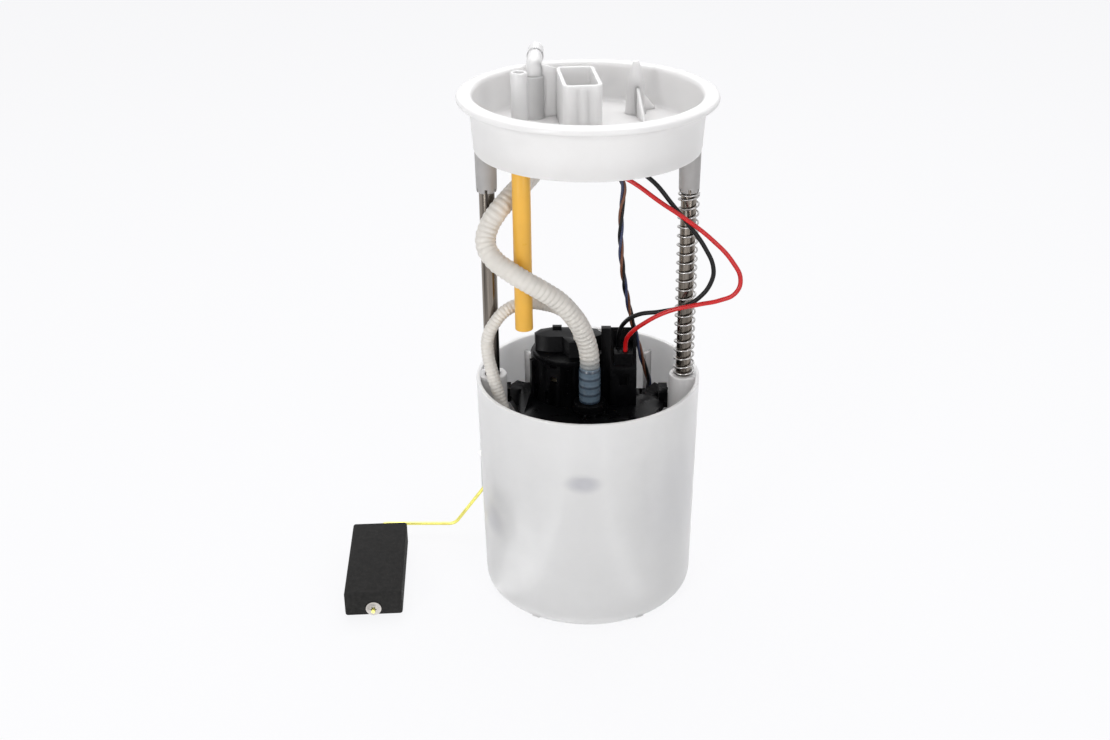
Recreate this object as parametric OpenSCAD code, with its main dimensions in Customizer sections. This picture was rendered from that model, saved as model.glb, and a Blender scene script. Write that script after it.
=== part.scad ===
// In-tank fuel pump module: a swirl bucket with the pump, level sender and float,
// under a flange that rides on two guide rods and a return spring.
// Millimetres, +Z up. The origin is the middle of the bucket's underside.
// The guide rods lie along X and the float lies on the -X side.

/* [Bucket] */
// Height of the bucket
bucket_h = 126; // [118:1:140]
// Outer radius of the bucket at its rim
bucket_r = 59.5; // [58.5:0.5:62]
// Outer radius of the bucket above its bottom corner
bucket_r_low = 57.5; // [57:0.5:59]
// Radius of the bottom corner
bucket_corner = 8; // [4:0.5:12]
// Wall thickness of the bucket
bucket_wall = 2.2; // [1.8:0.1:2.6]
// Thickness of the bucket's floor
bucket_floor = 3; // [2.4:0.2:4]
// Depth of the feed channels under the floor
channel_d = 1.2; // [0.6:0.2:1.6]
// Width of the feed channels under the floor
channel_w = 5; // [3:0.5:8]

/* [Guide rods] */
// Distance of each rod from the middle
rod_x = 51; // [50:0.25:51.5]
// Diameter of the rods
rod_d = 8; // [6:0.5:8]
// Running clearance of a rod in its guide, on the radius
rod_clear = 0.08; // [0.04:0.01:0.1]
// Height of the flange's skirt above the bucket's rim, at rest
flange_lift = 126; // [120:1:136]
// How far the flange can be pushed down
travel = 45; // [30:1:50]
// Outer diameter of the guide bosses in the bucket
boss_d = 15.2; // [14:0.2:15.6]
// Length of the tight guide at the top of each boss
guide_len = 34; // [24:1:40]
// Diameter of the retaining rings
ring_d = 10; // [9.6:0.1:10.2]
// Thickness of the retaining rings
ring_t = 1.4; // [1:0.1:2]
// Free end of each rod below its ring
rod_end = 6; // [3:0.5:10]

/* [Return spring] */
// Outer diameter of the spring
spring_d = 11.2; // [10.6:0.1:12]
// Diameter of the spring wire
spring_wire = 1; // [0.8:0.05:1.2]
// Number of turns
spring_turns = 20; // [12:1:22]

/* [Flange] */
// Height of the flange from skirt to rim
flange_h = 27; // [25:0.5:32]
// Outer radius of the skirt
skirt_r = 56.7; // [56.5:0.1:57.5]
// Outer radius of the rim
rim_r = 64.7; // [63:0.1:67]
// Thickness of the flange's wall and floor
flange_wall = 2.5; // [2:0.1:3]
// Height of the floor's top above the skirt's edge
flange_floor = 8; // [7:0.5:10]
// Height of the rim's flat underside above the skirt's edge
seat_h = 20.5; // [19:0.5:21.5]
// Outer diameter of the rod sleeves at their lower end
sleeve_d = 10.4; // [10.2:0.1:11]
// Length of the rod sleeves below the skirt
sleeve_len = 24; // [16:1:30]

/* [Flange fittings] */
// Outer width of the plug socket
socket_w = 19.5; // [16:0.5:22]
// Corner radius of the plug socket
socket_r = 4; // [2.5:0.25:5]
// Outer length of the plug socket
socket_l = 38; // [34:1:42]
// Height of the plug socket above the rim
socket_rise = 5.5; // [3:0.5:9]
// Turn of the plug socket seen from above
socket_turn = 7; // [0:1:12]
// Wall of the plug socket
socket_wall = 2; // [1.4:0.1:2.4]
// Diameter of the outlet nipple
outlet_d = 7.9; // [6:0.1:8.5]
// Length of the outlet nipple behind its elbow
outlet_len = 33; // [25:1:38]
// Height of the outlet nipple's axis above the rim
outlet_rise = 7.5; // [5:0.5:12]

/* [Hoses and return tube] */
// Outer diameter of the feed hose
feed_d = 10.5; // [9.5:0.1:10.5]
// Diameter over the barbs for the feed hose
feed_barb_d = 7.6; // [6.5:0.1:8]
// Outer diameter of the jet hose
jet_d = 6.3; // [5.5:0.1:6.3]
// Diameter over the barbs for the jet hose
jet_barb_d = 4; // [3.4:0.1:4.4]
// Outer diameter of the return tube
return_d = 9.3; // [8:0.1:9.5]
// Wall of the return tube
return_wall = 1; // [0.6:0.1:1.5]
// Height of the return tube's open end above the bucket's rim
return_gap = 31.5; // [26:0.5:60]

/* [Leads] */
// Diameter of the two pump leads
lead_d = 2.4; // [1.8:0.1:2.6]
// Diameter of the bundle of sender leads
sender_lead_d = 2.6; // [2:0.1:3]

/* [Pump carrier] */
// Height of the carrier plate's top
plate_z = 108; // [104:0.5:110]
// Thickness of the carrier plate
plate_t = 4; // [3:0.5:5]
// Outer diameter of the pump holder
holder_d = 41; // [40.5:0.1:42]
// Wall of the pump holder
holder_wall = 2; // [1.6:0.1:2.2]
// Height of the holder's top above the plate
holder_rise = 24; // [22:0.5:26]
// Height of the holder's lower end
holder_low = 40; // [34:1:50]
// Height of the holder's cap
cap_h = 11; // [9:0.5:12]

/* [Pump] */
// Outer diameter of the pump's can
can_d = 35; // [34:0.1:35.4]
// Wall of the pump's can
can_wall = 1; // [0.8:0.1:1.2]
// Length of the pump's can
can_len = 80; // [78:1:84]
// Height of the can's lower end
can_z = 38; // [36:0.5:40]
// Diameter of the impeller
impeller_d = 27; // [22:0.5:28]
// Thickness of the impeller
impeller_t = 3.8; // [3:0.1:4.2]
// Number of impeller vanes
vanes = 31; // [21:2:37]
// Diameter of the rotor shaft
shaft_d = 3; // [2.5:0.1:3.5]
// Diameter of the armature
armature_d = 25; // [22:0.5:26]
// Length of the armature
armature_len = 34; // [28:1:36]
// Number of armature slots
slots = 8; // [5:1:10]
// Diameter of the commutator
commutator_d = 16; // [14:0.5:18]

/* [Level sender] */
// Distance of the float's pivot from the arm's pivot, along X
arm_reach = 68; // [60:1:72]
// Height of the arm's pivot
pivot_z = 42.4; // [40:0.2:46]
// Height of the float's pin
pin_z = 7.7; // [7:0.1:10]
// Diameter of the arm's wire
wire_d = 2; // [1.8:0.1:2.4]
// Diameter of the hub
hub_d = 13; // [11:0.5:13.5]
// Thickness of the hub
hub_t = 6; // [5:0.5:6]

/* [Float] */
// Width of the float
float_w = 31.2; // [26:0.2:34]
// Length of the float
float_l = 71; // [60:1:71]
// Height of the float
float_h = 14.7; // [12:0.1:18]
// Height of the pin above the float's underside
float_pin = 4.7; // [4:0.1:6]
// Turn of the float seen from above
float_turn = 4; // [0:0.5:5]

/* [Hidden] */
$fn = 64;

// Clearances shared by the pieces
run_gap = 0.05;
seat_gap = 0.2;
loose_gap = 0.3;

// Heights and radii that follow from the driving sizes
rim_z = bucket_h;
skirt_z = bucket_h + flange_lift;
flange_top = skirt_z + flange_h;
floor_z = skirt_z + flange_floor;
floor_under = floor_z - flange_wall;
rod_r = rod_d / 2;
boss_r = boss_d / 2;
guide_z = bucket_h - guide_len;
rod_low = guide_z - seat_gap - ring_t - rod_end;
chamber_z = rod_low - travel - 5;
chamber_r = ring_d / 2 + loose_gap;
sleeve_z = skirt_z - sleeve_len;
holder_r = holder_d / 2;
holder_top = plate_z + holder_rise;
pump_c = [-31 + holder_r, 15];
can_r = can_d / 2;
can_in = can_r - can_wall;
can_top = can_z + can_len;
shaft_r = shaft_d / 2;
feed_c = [1, -9];
jet_c = [-4.5, 6];
jet_foot = [-38, -20];
return_c = [-33, -12];
outlet_c = [-27, 22];
vent_c = [24.3, 30];
socket_c = [-4.5, 10];
plug_c = [19, 7];
regulator_c = [24, -20];
latch_x = -2.3;
latch_z = plate_z - 16.6;
latch_w = 17;
regulator_r = 9;
valve_c = [16, -12];
pivot = [-54, 36.5, pivot_z];
pin_x = pivot[0] - arm_reach;
wire_r = wire_d / 2;
float_y = 22;

// Shared shapes

function unit(v) = v / norm(v);
function tangent(route, i) = unit(route[min(i + 1, len(route) - 1)] - route[max(i - 1, 0)]);
function ring(route, i, r, sides, side_dir) =
    let (t = tangent(route, i), u = unit(cross(side_dir, t)), v = cross(t, u))
    [for (k = [0:sides - 1]) route[i] + r * (cos(360 * k / sides) * u + sin(360 * k / sides) * v)];

module swept(route, r, sides, side_dir) {
    last = len(route) - 1;
    points = [for (i = [0:last]) each ring(route, i, r, sides, side_dir)];
    walls = [for (i = [0:last - 1]) for (k = [0:sides - 1])
        let (a = i * sides + k, b = i * sides + (k + 1) % sides)
        each [[a, a + sides, b + sides], [a, b + sides, b]]];
    caps = [[for (k = [0:sides - 1]) k], [for (k = [sides - 1:-1:0]) last * sides + k]];
    polyhedron(points = points, faces = concat(caps, walls), convexity = 8);
}

module coil(r, wire, turns, h, steps, sides) {
    rise = h - wire;
    route = [for (i = [0:turns * steps])
        let (a = 360 * i / steps) [r * cos(a), r * sin(a), wire / 2 + rise * i / (turns * steps)]];
    swept(route, wire / 2, sides, [0, 0, 1]);
}

module tube(r_out, r_in, h) {
    difference() {
        cylinder(r = r_out, h = h);
        translate([0, 0, -1]) cylinder(r = r_in, h = h + 2);
    }
}

module slab(w, l, h, r) {
    linear_extrude(h) rounded(w, l, r);
}

module rounded(w, l, r) {
    square([w - 2 * r, l], center = true);
    square([w, l - 2 * r], center = true);
    for (sx = [-1, 1], sy = [-1, 1])
        translate([sx * (w / 2 - r), sy * (l / 2 - r)]) circle(r = r, $fn = 32);
}

module barbed(r, bore, h, barbs) {
    step = 0.7;
    plain = 0.28 * h;
    pitch = (h - plain) / barbs;
    saw = [for (i = [0:barbs - 1])
        each [[r, plain + i * pitch], [r - step, plain + (i + 1) * pitch]]];
    rotate_extrude() polygon(concat([[bore, 0], [r - step, 0], [r - step, plain]], saw, [[bore, h]]));
}

module at(c, z) {
    translate([c[0], c[1], z]) children();
}

// Bucket

function arc(cx, cz, r, a0, a1, n) = [for (i = [0:n]) let (a = a0 + (a1 - a0) * i / n)
    [cx + r * cos(a), cz + r * sin(a)]];

bucket_in = bucket_corner - bucket_wall;
channel_turn = 40;
boss_floor = 3;
ledge_angles = [150, 26, -60, -120];
inlet_hole_r = 4;

module bucket_shell() {
    polygon(concat([[0, 0]],
        arc(bucket_r_low - bucket_corner, bucket_corner, bucket_corner, -90, 0, 6),
        [[bucket_r, bucket_h], [bucket_r - bucket_wall, bucket_h]],
        arc(bucket_r_low - bucket_corner, bucket_floor + bucket_in, bucket_in, 0, -90, 6),
        [[0, bucket_floor]]));
}

// Everything inside the middle of the wall, which the inner parts end in
module bucket_middle() {
    half = bucket_wall / 2;
    rotate_extrude($fn = 128) polygon(concat([[0, half]],
        arc(bucket_r_low - bucket_corner, bucket_corner, bucket_corner - half, -90, 0, 6),
        [[bucket_r - half, bucket_h], [0, bucket_h]]));
}

module ledge_rib(angle, r_in, w) {
    rotate(angle) translate([r_in, -w / 2, bucket_floor / 2])
        cube([bucket_r - r_in, w, plate_z - plate_t - bucket_floor / 2]);
}

module wall_rib(angle) {
    low = plate_z - 14;
    rotate(angle) translate([bucket_r_low - bucket_wall - 3.4, -1, low])
        cube([bucket_wall + 8, 2, bucket_h - 8 - low]);
}

module sender_bracket() {
    translate([-57, card_y + housing_t + 1.1, 34]) cube([30, 2.6, 38]);
    translate([housing_x1 + 1.7, card_y, 34]) cube([6, housing_t + 1.2, 38]);
}

module bucket() {
    color([0.90, 0.91, 0.94]) difference() {
        union() {
            rotate_extrude($fn = 128) bucket_shell();
            intersection() {
                union() {
                    for (s = [-1, 1]) translate([s * rod_x, 0, chamber_z - boss_floor])
                        cylinder(r = boss_r, h = bucket_h - chamber_z + boss_floor);
                    for (a = ledge_angles)
                        ledge_rib(a, 43.5, 5);
                    for (a = [128, 118, 64, 52])
                        wall_rib(a);
                }
                bucket_middle();
            }
            difference() {
                sender_bracket();
                bucket_middle();
            }
        }
        for (s = [-1, 1]) translate([s * rod_x, 0, 0]) {
            translate([0, 0, guide_z - 1]) cylinder(r = rod_r + rod_clear, h = guide_len + 2);
            translate([0, 0, chamber_z]) cylinder(r = chamber_r, h = guide_z - chamber_z);
        }
        for (s = [0, 180]) rotate(s)
            translate([rod_x - boss_r - 1, -3.5, chamber_z + 3]) cube([boss_r, 7, guide_z - chamber_z - 6]);
        at(valve_c, -1) cylinder(r = inlet_hole_r, h = bucket_floor + 2);
        for (a = [channel_turn:60:channel_turn + 300]) at(valve_c, 0) rotate(a)
            translate([0, -channel_w / 2, -1]) cube([90, channel_w, channel_d + 1]);
        translate([latch_x, -bucket_r - 0.2, latch_z]) rotate([-90, 0, 0])
            linear_extrude(1.5) rounded(latch_w + 2, 8, 3.9);
        rotate(132.5) translate([bucket_r - 8, 0, 86]) rotate([0, 90, 0]) cylinder(r = 2.4, h = 12);
    }
}

// Foot valve: a rubber mushroom over the inlet hole
module foot_valve() {
    color([0.15, 0.15, 0.16]) at(valve_c, 0) rotate_extrude()
        polygon([[0, 1.6], [1.6, 1.6], [1.6, bucket_floor + seat_gap], [6.5, bucket_floor + 0.1],
            [7, bucket_floor + 0.8], [4, bucket_floor + 2.2], [0, bucket_floor + 2.8]]);
}

// Pump inlet strainer
strainer_w = 46;
strainer_l = 38;
strainer_z = 9;
strainer_t = 9;
inlet_r = 5;
inlet_z = can_z - 9;

module strainer_frame() {
    color([0.20, 0.20, 0.22]) {
        difference() {
            translate([pump_c[0], pump_c[1], strainer_z]) slab(strainer_w, strainer_l, 2, 16);
            translate([pump_c[0], pump_c[1], strainer_z - 1]) {
                for (sx = [-1, 1], sy = [-1, 1])
                    translate([sx * strainer_w / 4.2, sy * strainer_l / 4.2, 0])
                        slab(strainer_w / 2 - 5, strainer_l / 2 - 5, 4, 6);
            }
        }
        at(pump_c, strainer_z + 2) tube(3, 1.8, strainer_t);
        at(pump_c, strainer_z + 2 + strainer_t)
            tube(inlet_r + 2.5, inlet_r + run_gap, inlet_z + 7 - strainer_z - 2 - strainer_t);
        at(pump_c, strainer_z + 2 + strainer_t) tube(inlet_r + 2.5, 1.8, 1.2);
    }
}

module strainer_mesh() {
    color([0.75, 0.76, 0.72]) difference() {
        translate([pump_c[0], pump_c[1], strainer_z + 2]) slab(strainer_w, strainer_l, strainer_t, 16);
        translate([pump_c[0], pump_c[1], strainer_z + 1])
            slab(strainer_w - 1.6, strainer_l - 1.6, strainer_t, 15.4);
        at(pump_c, 0) cylinder(r = 3.1, h = 60);
    }
}

// Carrier plate with the pump holder
plate_points = [[-42, 23], [-44.6, 16.4], [-44.6, 13.6], [-34.6, -15.6], [-29, -24], [-17, -37],
    [17, -37], [30, -24], [39, -5], [41, 1], [43.2, 6.5], [43.2, 13], [41, 20], [37, 24.5],
    [32.5, 17], [27, 17], [20, 30], [2, 38], [-22, 38], [-31, 24], [-38, 24.5]];
window_w = 4;
window_h = 3.6;

// Latch tongue that snaps behind the dimple in the bucket's front wall
module latch() {
    low = latch_z - 4;
    intersection() {
        translate([latch_x - latch_w / 2, 0, 0]) rotate([90, 0, 90]) linear_extrude(latch_w)
            polygon([[-36, plate_z], [-36, plate_z - plate_t], [-50, plate_z - plate_t],
                [-53.6, latch_z + 7.6], [-54.2, low], [-60, low], [-60, latch_z + 4],
                [-55.8, latch_z + 5], [-52.5, plate_z]]);
        cylinder(r = bucket_r_low - bucket_wall + 1, h = bucket_h);
    }
}

module pump_carrier() {
    color([0.07, 0.07, 0.08]) difference() {
        union() {
            translate([0, 0, plate_z - plate_t]) linear_extrude(plate_t) polygon(plate_points);
            at(pump_c, holder_low) cylinder(r = holder_r, h = holder_top - holder_low);
            at(feed_c, plate_z - 0.5) cylinder(r = 9.5, h = 2.5);
            at(regulator_c, plate_z - plate_t - 6) cylinder(r = regulator_r + 2, h = 6.5);
            for (a = ledge_angles)
                rotate(a) translate([40, -3.5, plate_z - plate_t]) cube([7.5, 7, plate_t]);
            for (a = [200, 270]) at(pump_c, plate_z) rotate(a)
                translate([holder_r - 1, -1.5, 0]) cube([2.2, 3, holder_rise - 2]);
            translate([-44.6, 8.2, plate_z - plate_t]) cube([2.4, 8, plate_t + 4.2]);
            translate([38.5, 2, plate_z - plate_t]) cube([4.7, 12, plate_t + 5]);
            latch();
        }
        at(pump_c, holder_low - 1) cylinder(r = holder_r - holder_wall, h = holder_top - holder_low + 2);
        at(feed_c, plate_z - plate_t - 1) cylinder(r = 4.6, h = plate_t + 5);
        at(regulator_c, plate_z - plate_t - 7) cylinder(r = regulator_r + run_gap, h = 8.5);
        at(regulator_c, plate_z - 3) cylinder(r = 3, h = 5);
        at(pump_c, holder_top - 10.5) rotate(247)
            translate([holder_r - 3, -window_w / 2, 0]) cube([5, window_w, window_h]);
        at(pump_c, holder_top - 1.6) rotate(247)
            translate([holder_r - 1.2, -window_w / 2, 0]) cube([3, window_w, window_h]);
        at(pump_c, plate_z + 2.2) rotate(235)
            translate([holder_r - 1.4, -1.2, 0]) cube([3, 2.4, 5.4]);
        for (a = [20, 110, 200, 290]) at(pump_c, holder_low + 6) rotate(a)
            translate([holder_r - 4, -5, 0]) cube([6, 10, 40]);
        translate([plug_c[0] + 9.2, plug_c[1] + 3, plate_z - plate_t - 1]) cube([1.6, 6, plate_t + 2]);
    }
}

// Cap on the pump holder: a facetted housing on a round rim, with the jet hose's nipple
jet_nipple_h = 6;
cap_rim = 2;
cap_wall = 1.6;
cap_points = [[-28.8, 14.4], [-28.2, 11.2], [-20.6, 8.8], [-13.8, 9.2], [-10, 1.5], [1, 1.5], [4, 9.2],
    [7.2, 11.5], [7.6, 14.4], [4.6, 19.1], [-1.7, 21.5], [-19.2, 21.5], [-25.6, 19.1]];

module holder_cap() {
    color([0.06, 0.06, 0.07]) difference() {
        union() {
            at(pump_c, holder_top) cylinder(r = holder_r - 1.2, h = cap_rim);
            at(pump_c, holder_top - 6) cylinder(r = holder_r - holder_wall - run_gap, h = 6.5);
            translate([0, 0, holder_top]) linear_extrude(cap_h) polygon(cap_points);
            at(jet_c, holder_top + cap_h - 0.5) barbed(jet_barb_d / 2, 1.1, jet_nipple_h + 0.5, 4);
            translate([-19.2, 18.9, holder_top]) cube([5, 2.6, cap_h + 1.4]);
        }
        at(pump_c, holder_top - 7) cylinder(r = holder_r - holder_wall - 2, h = 7);
        difference() {
            translate([0, 0, holder_top - 1]) linear_extrude(cap_h + 1 - cap_wall)
                offset(delta = -cap_wall) polygon(cap_points);
            at(jet_c, holder_top - 2) cylinder(r = 3, h = cap_h + 4);
        }
        at(jet_c, holder_top - 2) cylinder(r = 1.1, h = cap_h + 5);
        at([pump_c[0], pump_c[1] - nozzle_off], holder_top - 7)
            cylinder(r = nozzle_r + run_gap, h = 8.5);
    }
}

// Outlet fitting on the plate, with the feed hose's barb
feed_barb_z = plate_z + 6;
feed_barb_h = 22;

module outlet_fitting() {
    color([0.05, 0.05, 0.06]) difference() {
        union() {
            at(feed_c, plate_z + 2) cylinder(r = 8.4, h = 4);
            at(feed_c, plate_z - plate_t) cylinder(r = 4.6 - run_gap, h = plate_t + 3);
            at(feed_c, feed_barb_z - 0.5) barbed(feed_barb_d / 2, 2.2, feed_barb_h + 0.5, 5);
        }
        at(feed_c, plate_z - plate_t - 1) cylinder(r = 2.2, h = plate_t + 9);
        at(pump_c, plate_z) cylinder(r = holder_r + 0.1, h = 10);
    }
}

// Pump, from the outside in
damper_t = 6;
damper_zs = [can_z + 2 * damper_t, can_top - 3 * damper_t];

module damper_rings() {
    color([0.10, 0.10, 0.10]) for (z = damper_zs) at(pump_c, z)
        tube(holder_r - holder_wall - run_gap, can_r + run_gap, damper_t);
}

module pump_can() {
    color([0.72, 0.73, 0.75]) at(pump_c, 0) rotate_extrude()
        polygon([[can_in - 1.6, can_z], [can_r - 0.6, can_z], [can_r, can_z + 0.6],
            [can_r, can_top - 0.6], [can_r - 0.6, can_top], [can_in - 1.6, can_top],
            [can_in - 1.6, can_top - can_wall], [can_in, can_top - can_wall],
            [can_in, can_z + can_wall], [can_in - 1.6, can_z + can_wall]]);
}

cover_z = can_z + can_wall;
cover_t = 5;
pocket_z = cover_z + cover_t;
pocket_h = impeller_t + 0.2;
chamber_t = 6;
chamber_top = pocket_z + pocket_h + chamber_t;

module pump_inlet_cover() {
    color([0.55, 0.56, 0.58]) at(pump_c, 0) difference() {
        union() {
            translate([0, 0, cover_z]) cylinder(r = can_in - run_gap, h = cover_t);
            translate([0, 0, can_z - 2]) cylinder(r = can_in - 2, h = 3.2);
            translate([0, 0, inlet_z]) cylinder(r = inlet_r, h = can_z - inlet_z);
        }
        translate([0, 0, inlet_z - 1]) cylinder(r = 3.2, h = can_z - inlet_z + 4);
        translate([0, impeller_d / 2 - 3, can_z + 1]) cylinder(r = 1.9, h = cover_t + 4);
        translate([-1.9, 0, can_z + 1]) cube([3.8, impeller_d / 2 - 3, 2]);
        translate([0, 0, pocket_z - 2]) cylinder(r = shaft_r + run_gap, h = 3);
    }
}

module pump_chamber_plate() {
    color([0.60, 0.61, 0.63]) at(pump_c, 0) difference() {
        translate([0, 0, pocket_z]) cylinder(r = can_in - run_gap, h = pocket_h + chamber_t);
        translate([0, 0, pocket_z - 1]) cylinder(r = impeller_d / 2 + 0.1, h = pocket_h + 1);
        translate([0, 0, pocket_z]) cylinder(r = bush_r, h = pocket_h + chamber_t + 1);
        translate([0, 3 - impeller_d / 2, pocket_z]) cylinder(r = 1.9, h = pocket_h + chamber_t + 1);
    }
}

armature_gap = 5;
armature_end = 2;
magnet_gap = 7;
armature_z = chamber_top + armature_gap;
armature_top = armature_z + armature_len;
commutator_z = armature_top + 3;
commutator_h = 7;
cap_low = commutator_z + commutator_h + 3;
bush_r = 3.2;
brush_x = 5.6;

module field_magnets() {
    color([0.25, 0.25, 0.27]) at(pump_c, armature_z + 1) difference() {
        tube(can_in - run_gap, armature_d / 2 + 0.6, armature_len - 2);
        for (a = [0, 90]) rotate(a) translate([-can_d, -magnet_gap / 2, -1])
            cube([2 * can_d, magnet_gap, armature_len + 2]);
    }
}

module motor_bushes() {
    color([0.72, 0.50, 0.22]) {
        at(pump_c, chamber_top - chamber_t) tube(bush_r - 0.02, shaft_r + run_gap, chamber_t);
        at(pump_c, cap_low + 2) tube(bush_r - 0.02, shaft_r + run_gap, 5);
    }
}

module carbon_brushes() {
    color([0.14, 0.14, 0.15]) for (s = [-1, 1])
        at([pump_c[0] + s * brush_x, pump_c[1]], commutator_z + commutator_h + 0.1)
            translate([-2, -2.5, 0]) cube([4, 5, 6]);
}

module brush_springs() {
    color([0.75, 0.76, 0.78]) for (s = [-1, 1])
        at([pump_c[0] + s * brush_x, pump_c[1]], commutator_z + commutator_h + 6.2)
            coil(1.4, 0.4, 5, 5.5, 10, 5);
}

nozzle_off = 9.5;
nozzle_r = 4.2;
valve_z = can_top + 5.5;
nozzle_top = holder_top + 1.4;

module pump_outlet_cap() {
    color([0.84, 0.80, 0.68]) at(pump_c, 0) difference() {
        union() {
            translate([0, 0, cap_low]) cylinder(r = can_in - run_gap, h = can_top - can_wall - cap_low);
            translate([0, 0, can_top - can_wall - 0.5]) cylinder(r = can_in - 2, h = can_wall + 3);
            translate([0, -nozzle_off, can_top - 2]) cylinder(r = nozzle_r, h = nozzle_top - can_top + 2);
            for (s = [-1, 1]) translate([s * 8, 4, can_top]) cylinder(r = 2.6, h = 6);
        }
        translate([0, -nozzle_off, cap_low - 1]) cylinder(r = 1.8, h = 60);
        translate([0, -nozzle_off, valve_z]) cylinder(r = 3.2, h = 20);
        translate([0, 0, cap_low - 1]) cylinder(r = bush_r, h = 8.5);
        for (s = [-1, 1]) translate([s * brush_x - 2.05, -2.55, cap_low - 1]) cube([4.1, 5.1, 9.8]);
    }
}

// Check valve in the pump's nozzle
valve_lift = 1.5;

module check_valve() {
    color([0.35, 0.36, 0.38]) at([pump_c[0], pump_c[1] - nozzle_off], valve_z) {
        rotate_extrude() polygon([[0, 0.05], [2.4, 0.05], [2.9, 0.6], [2.9, 1.4], [1, 2], [1, 4], [0, 4]]);
    }
}

module valve_spring() {
    color([0.75, 0.76, 0.78]) at([pump_c[0], pump_c[1] - nozzle_off], valve_z + 2.1)
        coil(2, 0.4, 5, nozzle_top - valve_z - 2.1, 10, 5);
}

// Rotor
module armature() {
    color([0.42, 0.30, 0.22]) at(pump_c, armature_z) difference() {
        union() {
            cylinder(r = armature_d / 2, h = armature_len);
            translate([0, 0, -armature_end])
                cylinder(r = armature_d / 2 - 3, h = armature_len + 2 * armature_end);
        }
        translate([0, 0, -2 * armature_end]) cylinder(r = shaft_r + 0.02, h = armature_len + 4 * armature_end);
        for (i = [0:slots - 1]) rotate(360 * i / slots)
            translate([armature_d / 2 - 2.5, -0.8, -1]) cube([4, 1.6, armature_len + 2]);
    }
}

module commutator() {
    color([0.70, 0.42, 0.25]) at(pump_c, commutator_z) difference() {
        cylinder(r = commutator_d / 2, h = commutator_h);
        translate([0, 0, -1]) cylinder(r = shaft_r + 0.02, h = commutator_h + 2);
        for (i = [0:slots - 1]) rotate(360 * i / slots)
            translate([3, -0.3, commutator_h - 2]) cube([10, 0.6, 3]);
    }
}

module rotor_shaft() {
    color([0.80, 0.81, 0.83]) at(pump_c, pocket_z - 1.8)
        cylinder(r = shaft_r, h = cap_low + 6.5 - pocket_z + 1.8);
}

module impeller() {
    color([0.20, 0.18, 0.16]) at(pump_c, pocket_z + 0.1) difference() {
        cylinder(r = impeller_d / 2, h = impeller_t);
        translate([0, 0, -1]) cylinder(r = shaft_r + 0.02, h = impeller_t + 2);
        for (i = [0:vanes - 1]) rotate(360 * i / vanes)
            translate([impeller_d / 2 - 2.6, -0.7, -1]) cube([4, 1.4, impeller_t + 2]);
    }
}

// Pressure regulator under the plate
regulator_z = 78;
regulator_top = plate_z - 2.7;

module regulator_body() {
    color([0.78, 0.72, 0.55]) at(regulator_c, 0) rotate_extrude()
        polygon([[2, regulator_z], [7.6, regulator_z], [8, regulator_z + 0.5], [8, regulator_z + 13],
            [10.5, regulator_z + 13], [10.5, regulator_z + 16], [regulator_r, regulator_z + 16.5],
            [regulator_r, regulator_top - 1], [regulator_r - 1, regulator_top], [4, regulator_top],
            [4, regulator_top - 1], [regulator_r - 1.2, regulator_top - 1.2],
            [regulator_r - 1.2, regulator_z + 14], [7, regulator_z + 12], [7, regulator_z + 1],
            [2, regulator_z + 1]]);
}

module regulator_seat() {
    color([0.80, 0.81, 0.83]) at(regulator_c, regulator_top - 9.5) {
        difference() {
            cylinder(r = 3.2, h = 9.4);
            translate([0, 0, -1]) cylinder(r = 1.6, h = 12);
        }
    }
}

module regulator_valve() {
    color([0.55, 0.45, 0.25]) at(regulator_c, regulator_z + 12.3)
        rotate_extrude() polygon([[0, 0], [5.8, 0], [6.3, 0.8], [6.3, 1.6], [4, 2.2],
            [4, regulator_top - 9.6 - regulator_z - 12.3], [0, regulator_top - 9.6 - regulator_z - 12.3]]);
}

module regulator_spring() {
    color([0.75, 0.76, 0.78]) at(regulator_c, regulator_z + 1.1) coil(4.4, 1, 4, 11, 12, 5);
}

// Electrical connector on the carrier, with a sloping mouth and the guide bar beside it
connector_w = 14;
connector_l = 20;
connector_wall = 1.8;
connector_front = 21.4;
connector_slope = 38;
bar_h = 44;
plug_low = 4.1;
plug_top = 29.5;
lead_depth = 4;

module pump_connector() {
    color([0.06, 0.06, 0.07]) at(plug_c, plate_z) {
        difference() {
            translate([-connector_w / 2, -connector_l / 2, 0]) cube([connector_w, connector_l, 37]);
            translate([connector_wall - connector_w / 2, connector_wall - connector_l / 2, plug_low - 0.1])
                cube([connector_w - 2 * connector_wall, connector_l - 2 * connector_wall, 40]);
            translate([-connector_w, -connector_l / 2, connector_front]) rotate([connector_slope, 0, 0])
                translate([0, -8, 0]) cube([2 * connector_w, 50, 40]);
            translate([-2, -connector_l / 2 - 2, 12]) cube([4, 6, 5]);
        }
        translate([-connector_w / 2 - 4.9, -7.4, 0]) cube([5.1, 4, bar_h]);
    }
}

module lead_plug() {
    color([0.10, 0.10, 0.11]) at(plug_c, plate_z + plug_low) difference() {
        translate([connector_wall + seat_gap - connector_w / 2, connector_wall + seat_gap - connector_l / 2, 0])
            cube([connector_w - 2 * connector_wall - 2 * seat_gap,
                connector_l - 2 * connector_wall - 2 * seat_gap, plug_top - plug_low]);
        for (p = lead_ends) at(p - plug_c, plug_top - plug_low - lead_depth)
            cylinder(r = lead_d / 2 + run_gap, h = lead_depth + 1);
    }
}

lead_ends = [[20, 3], [16.5, 10]];

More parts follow.
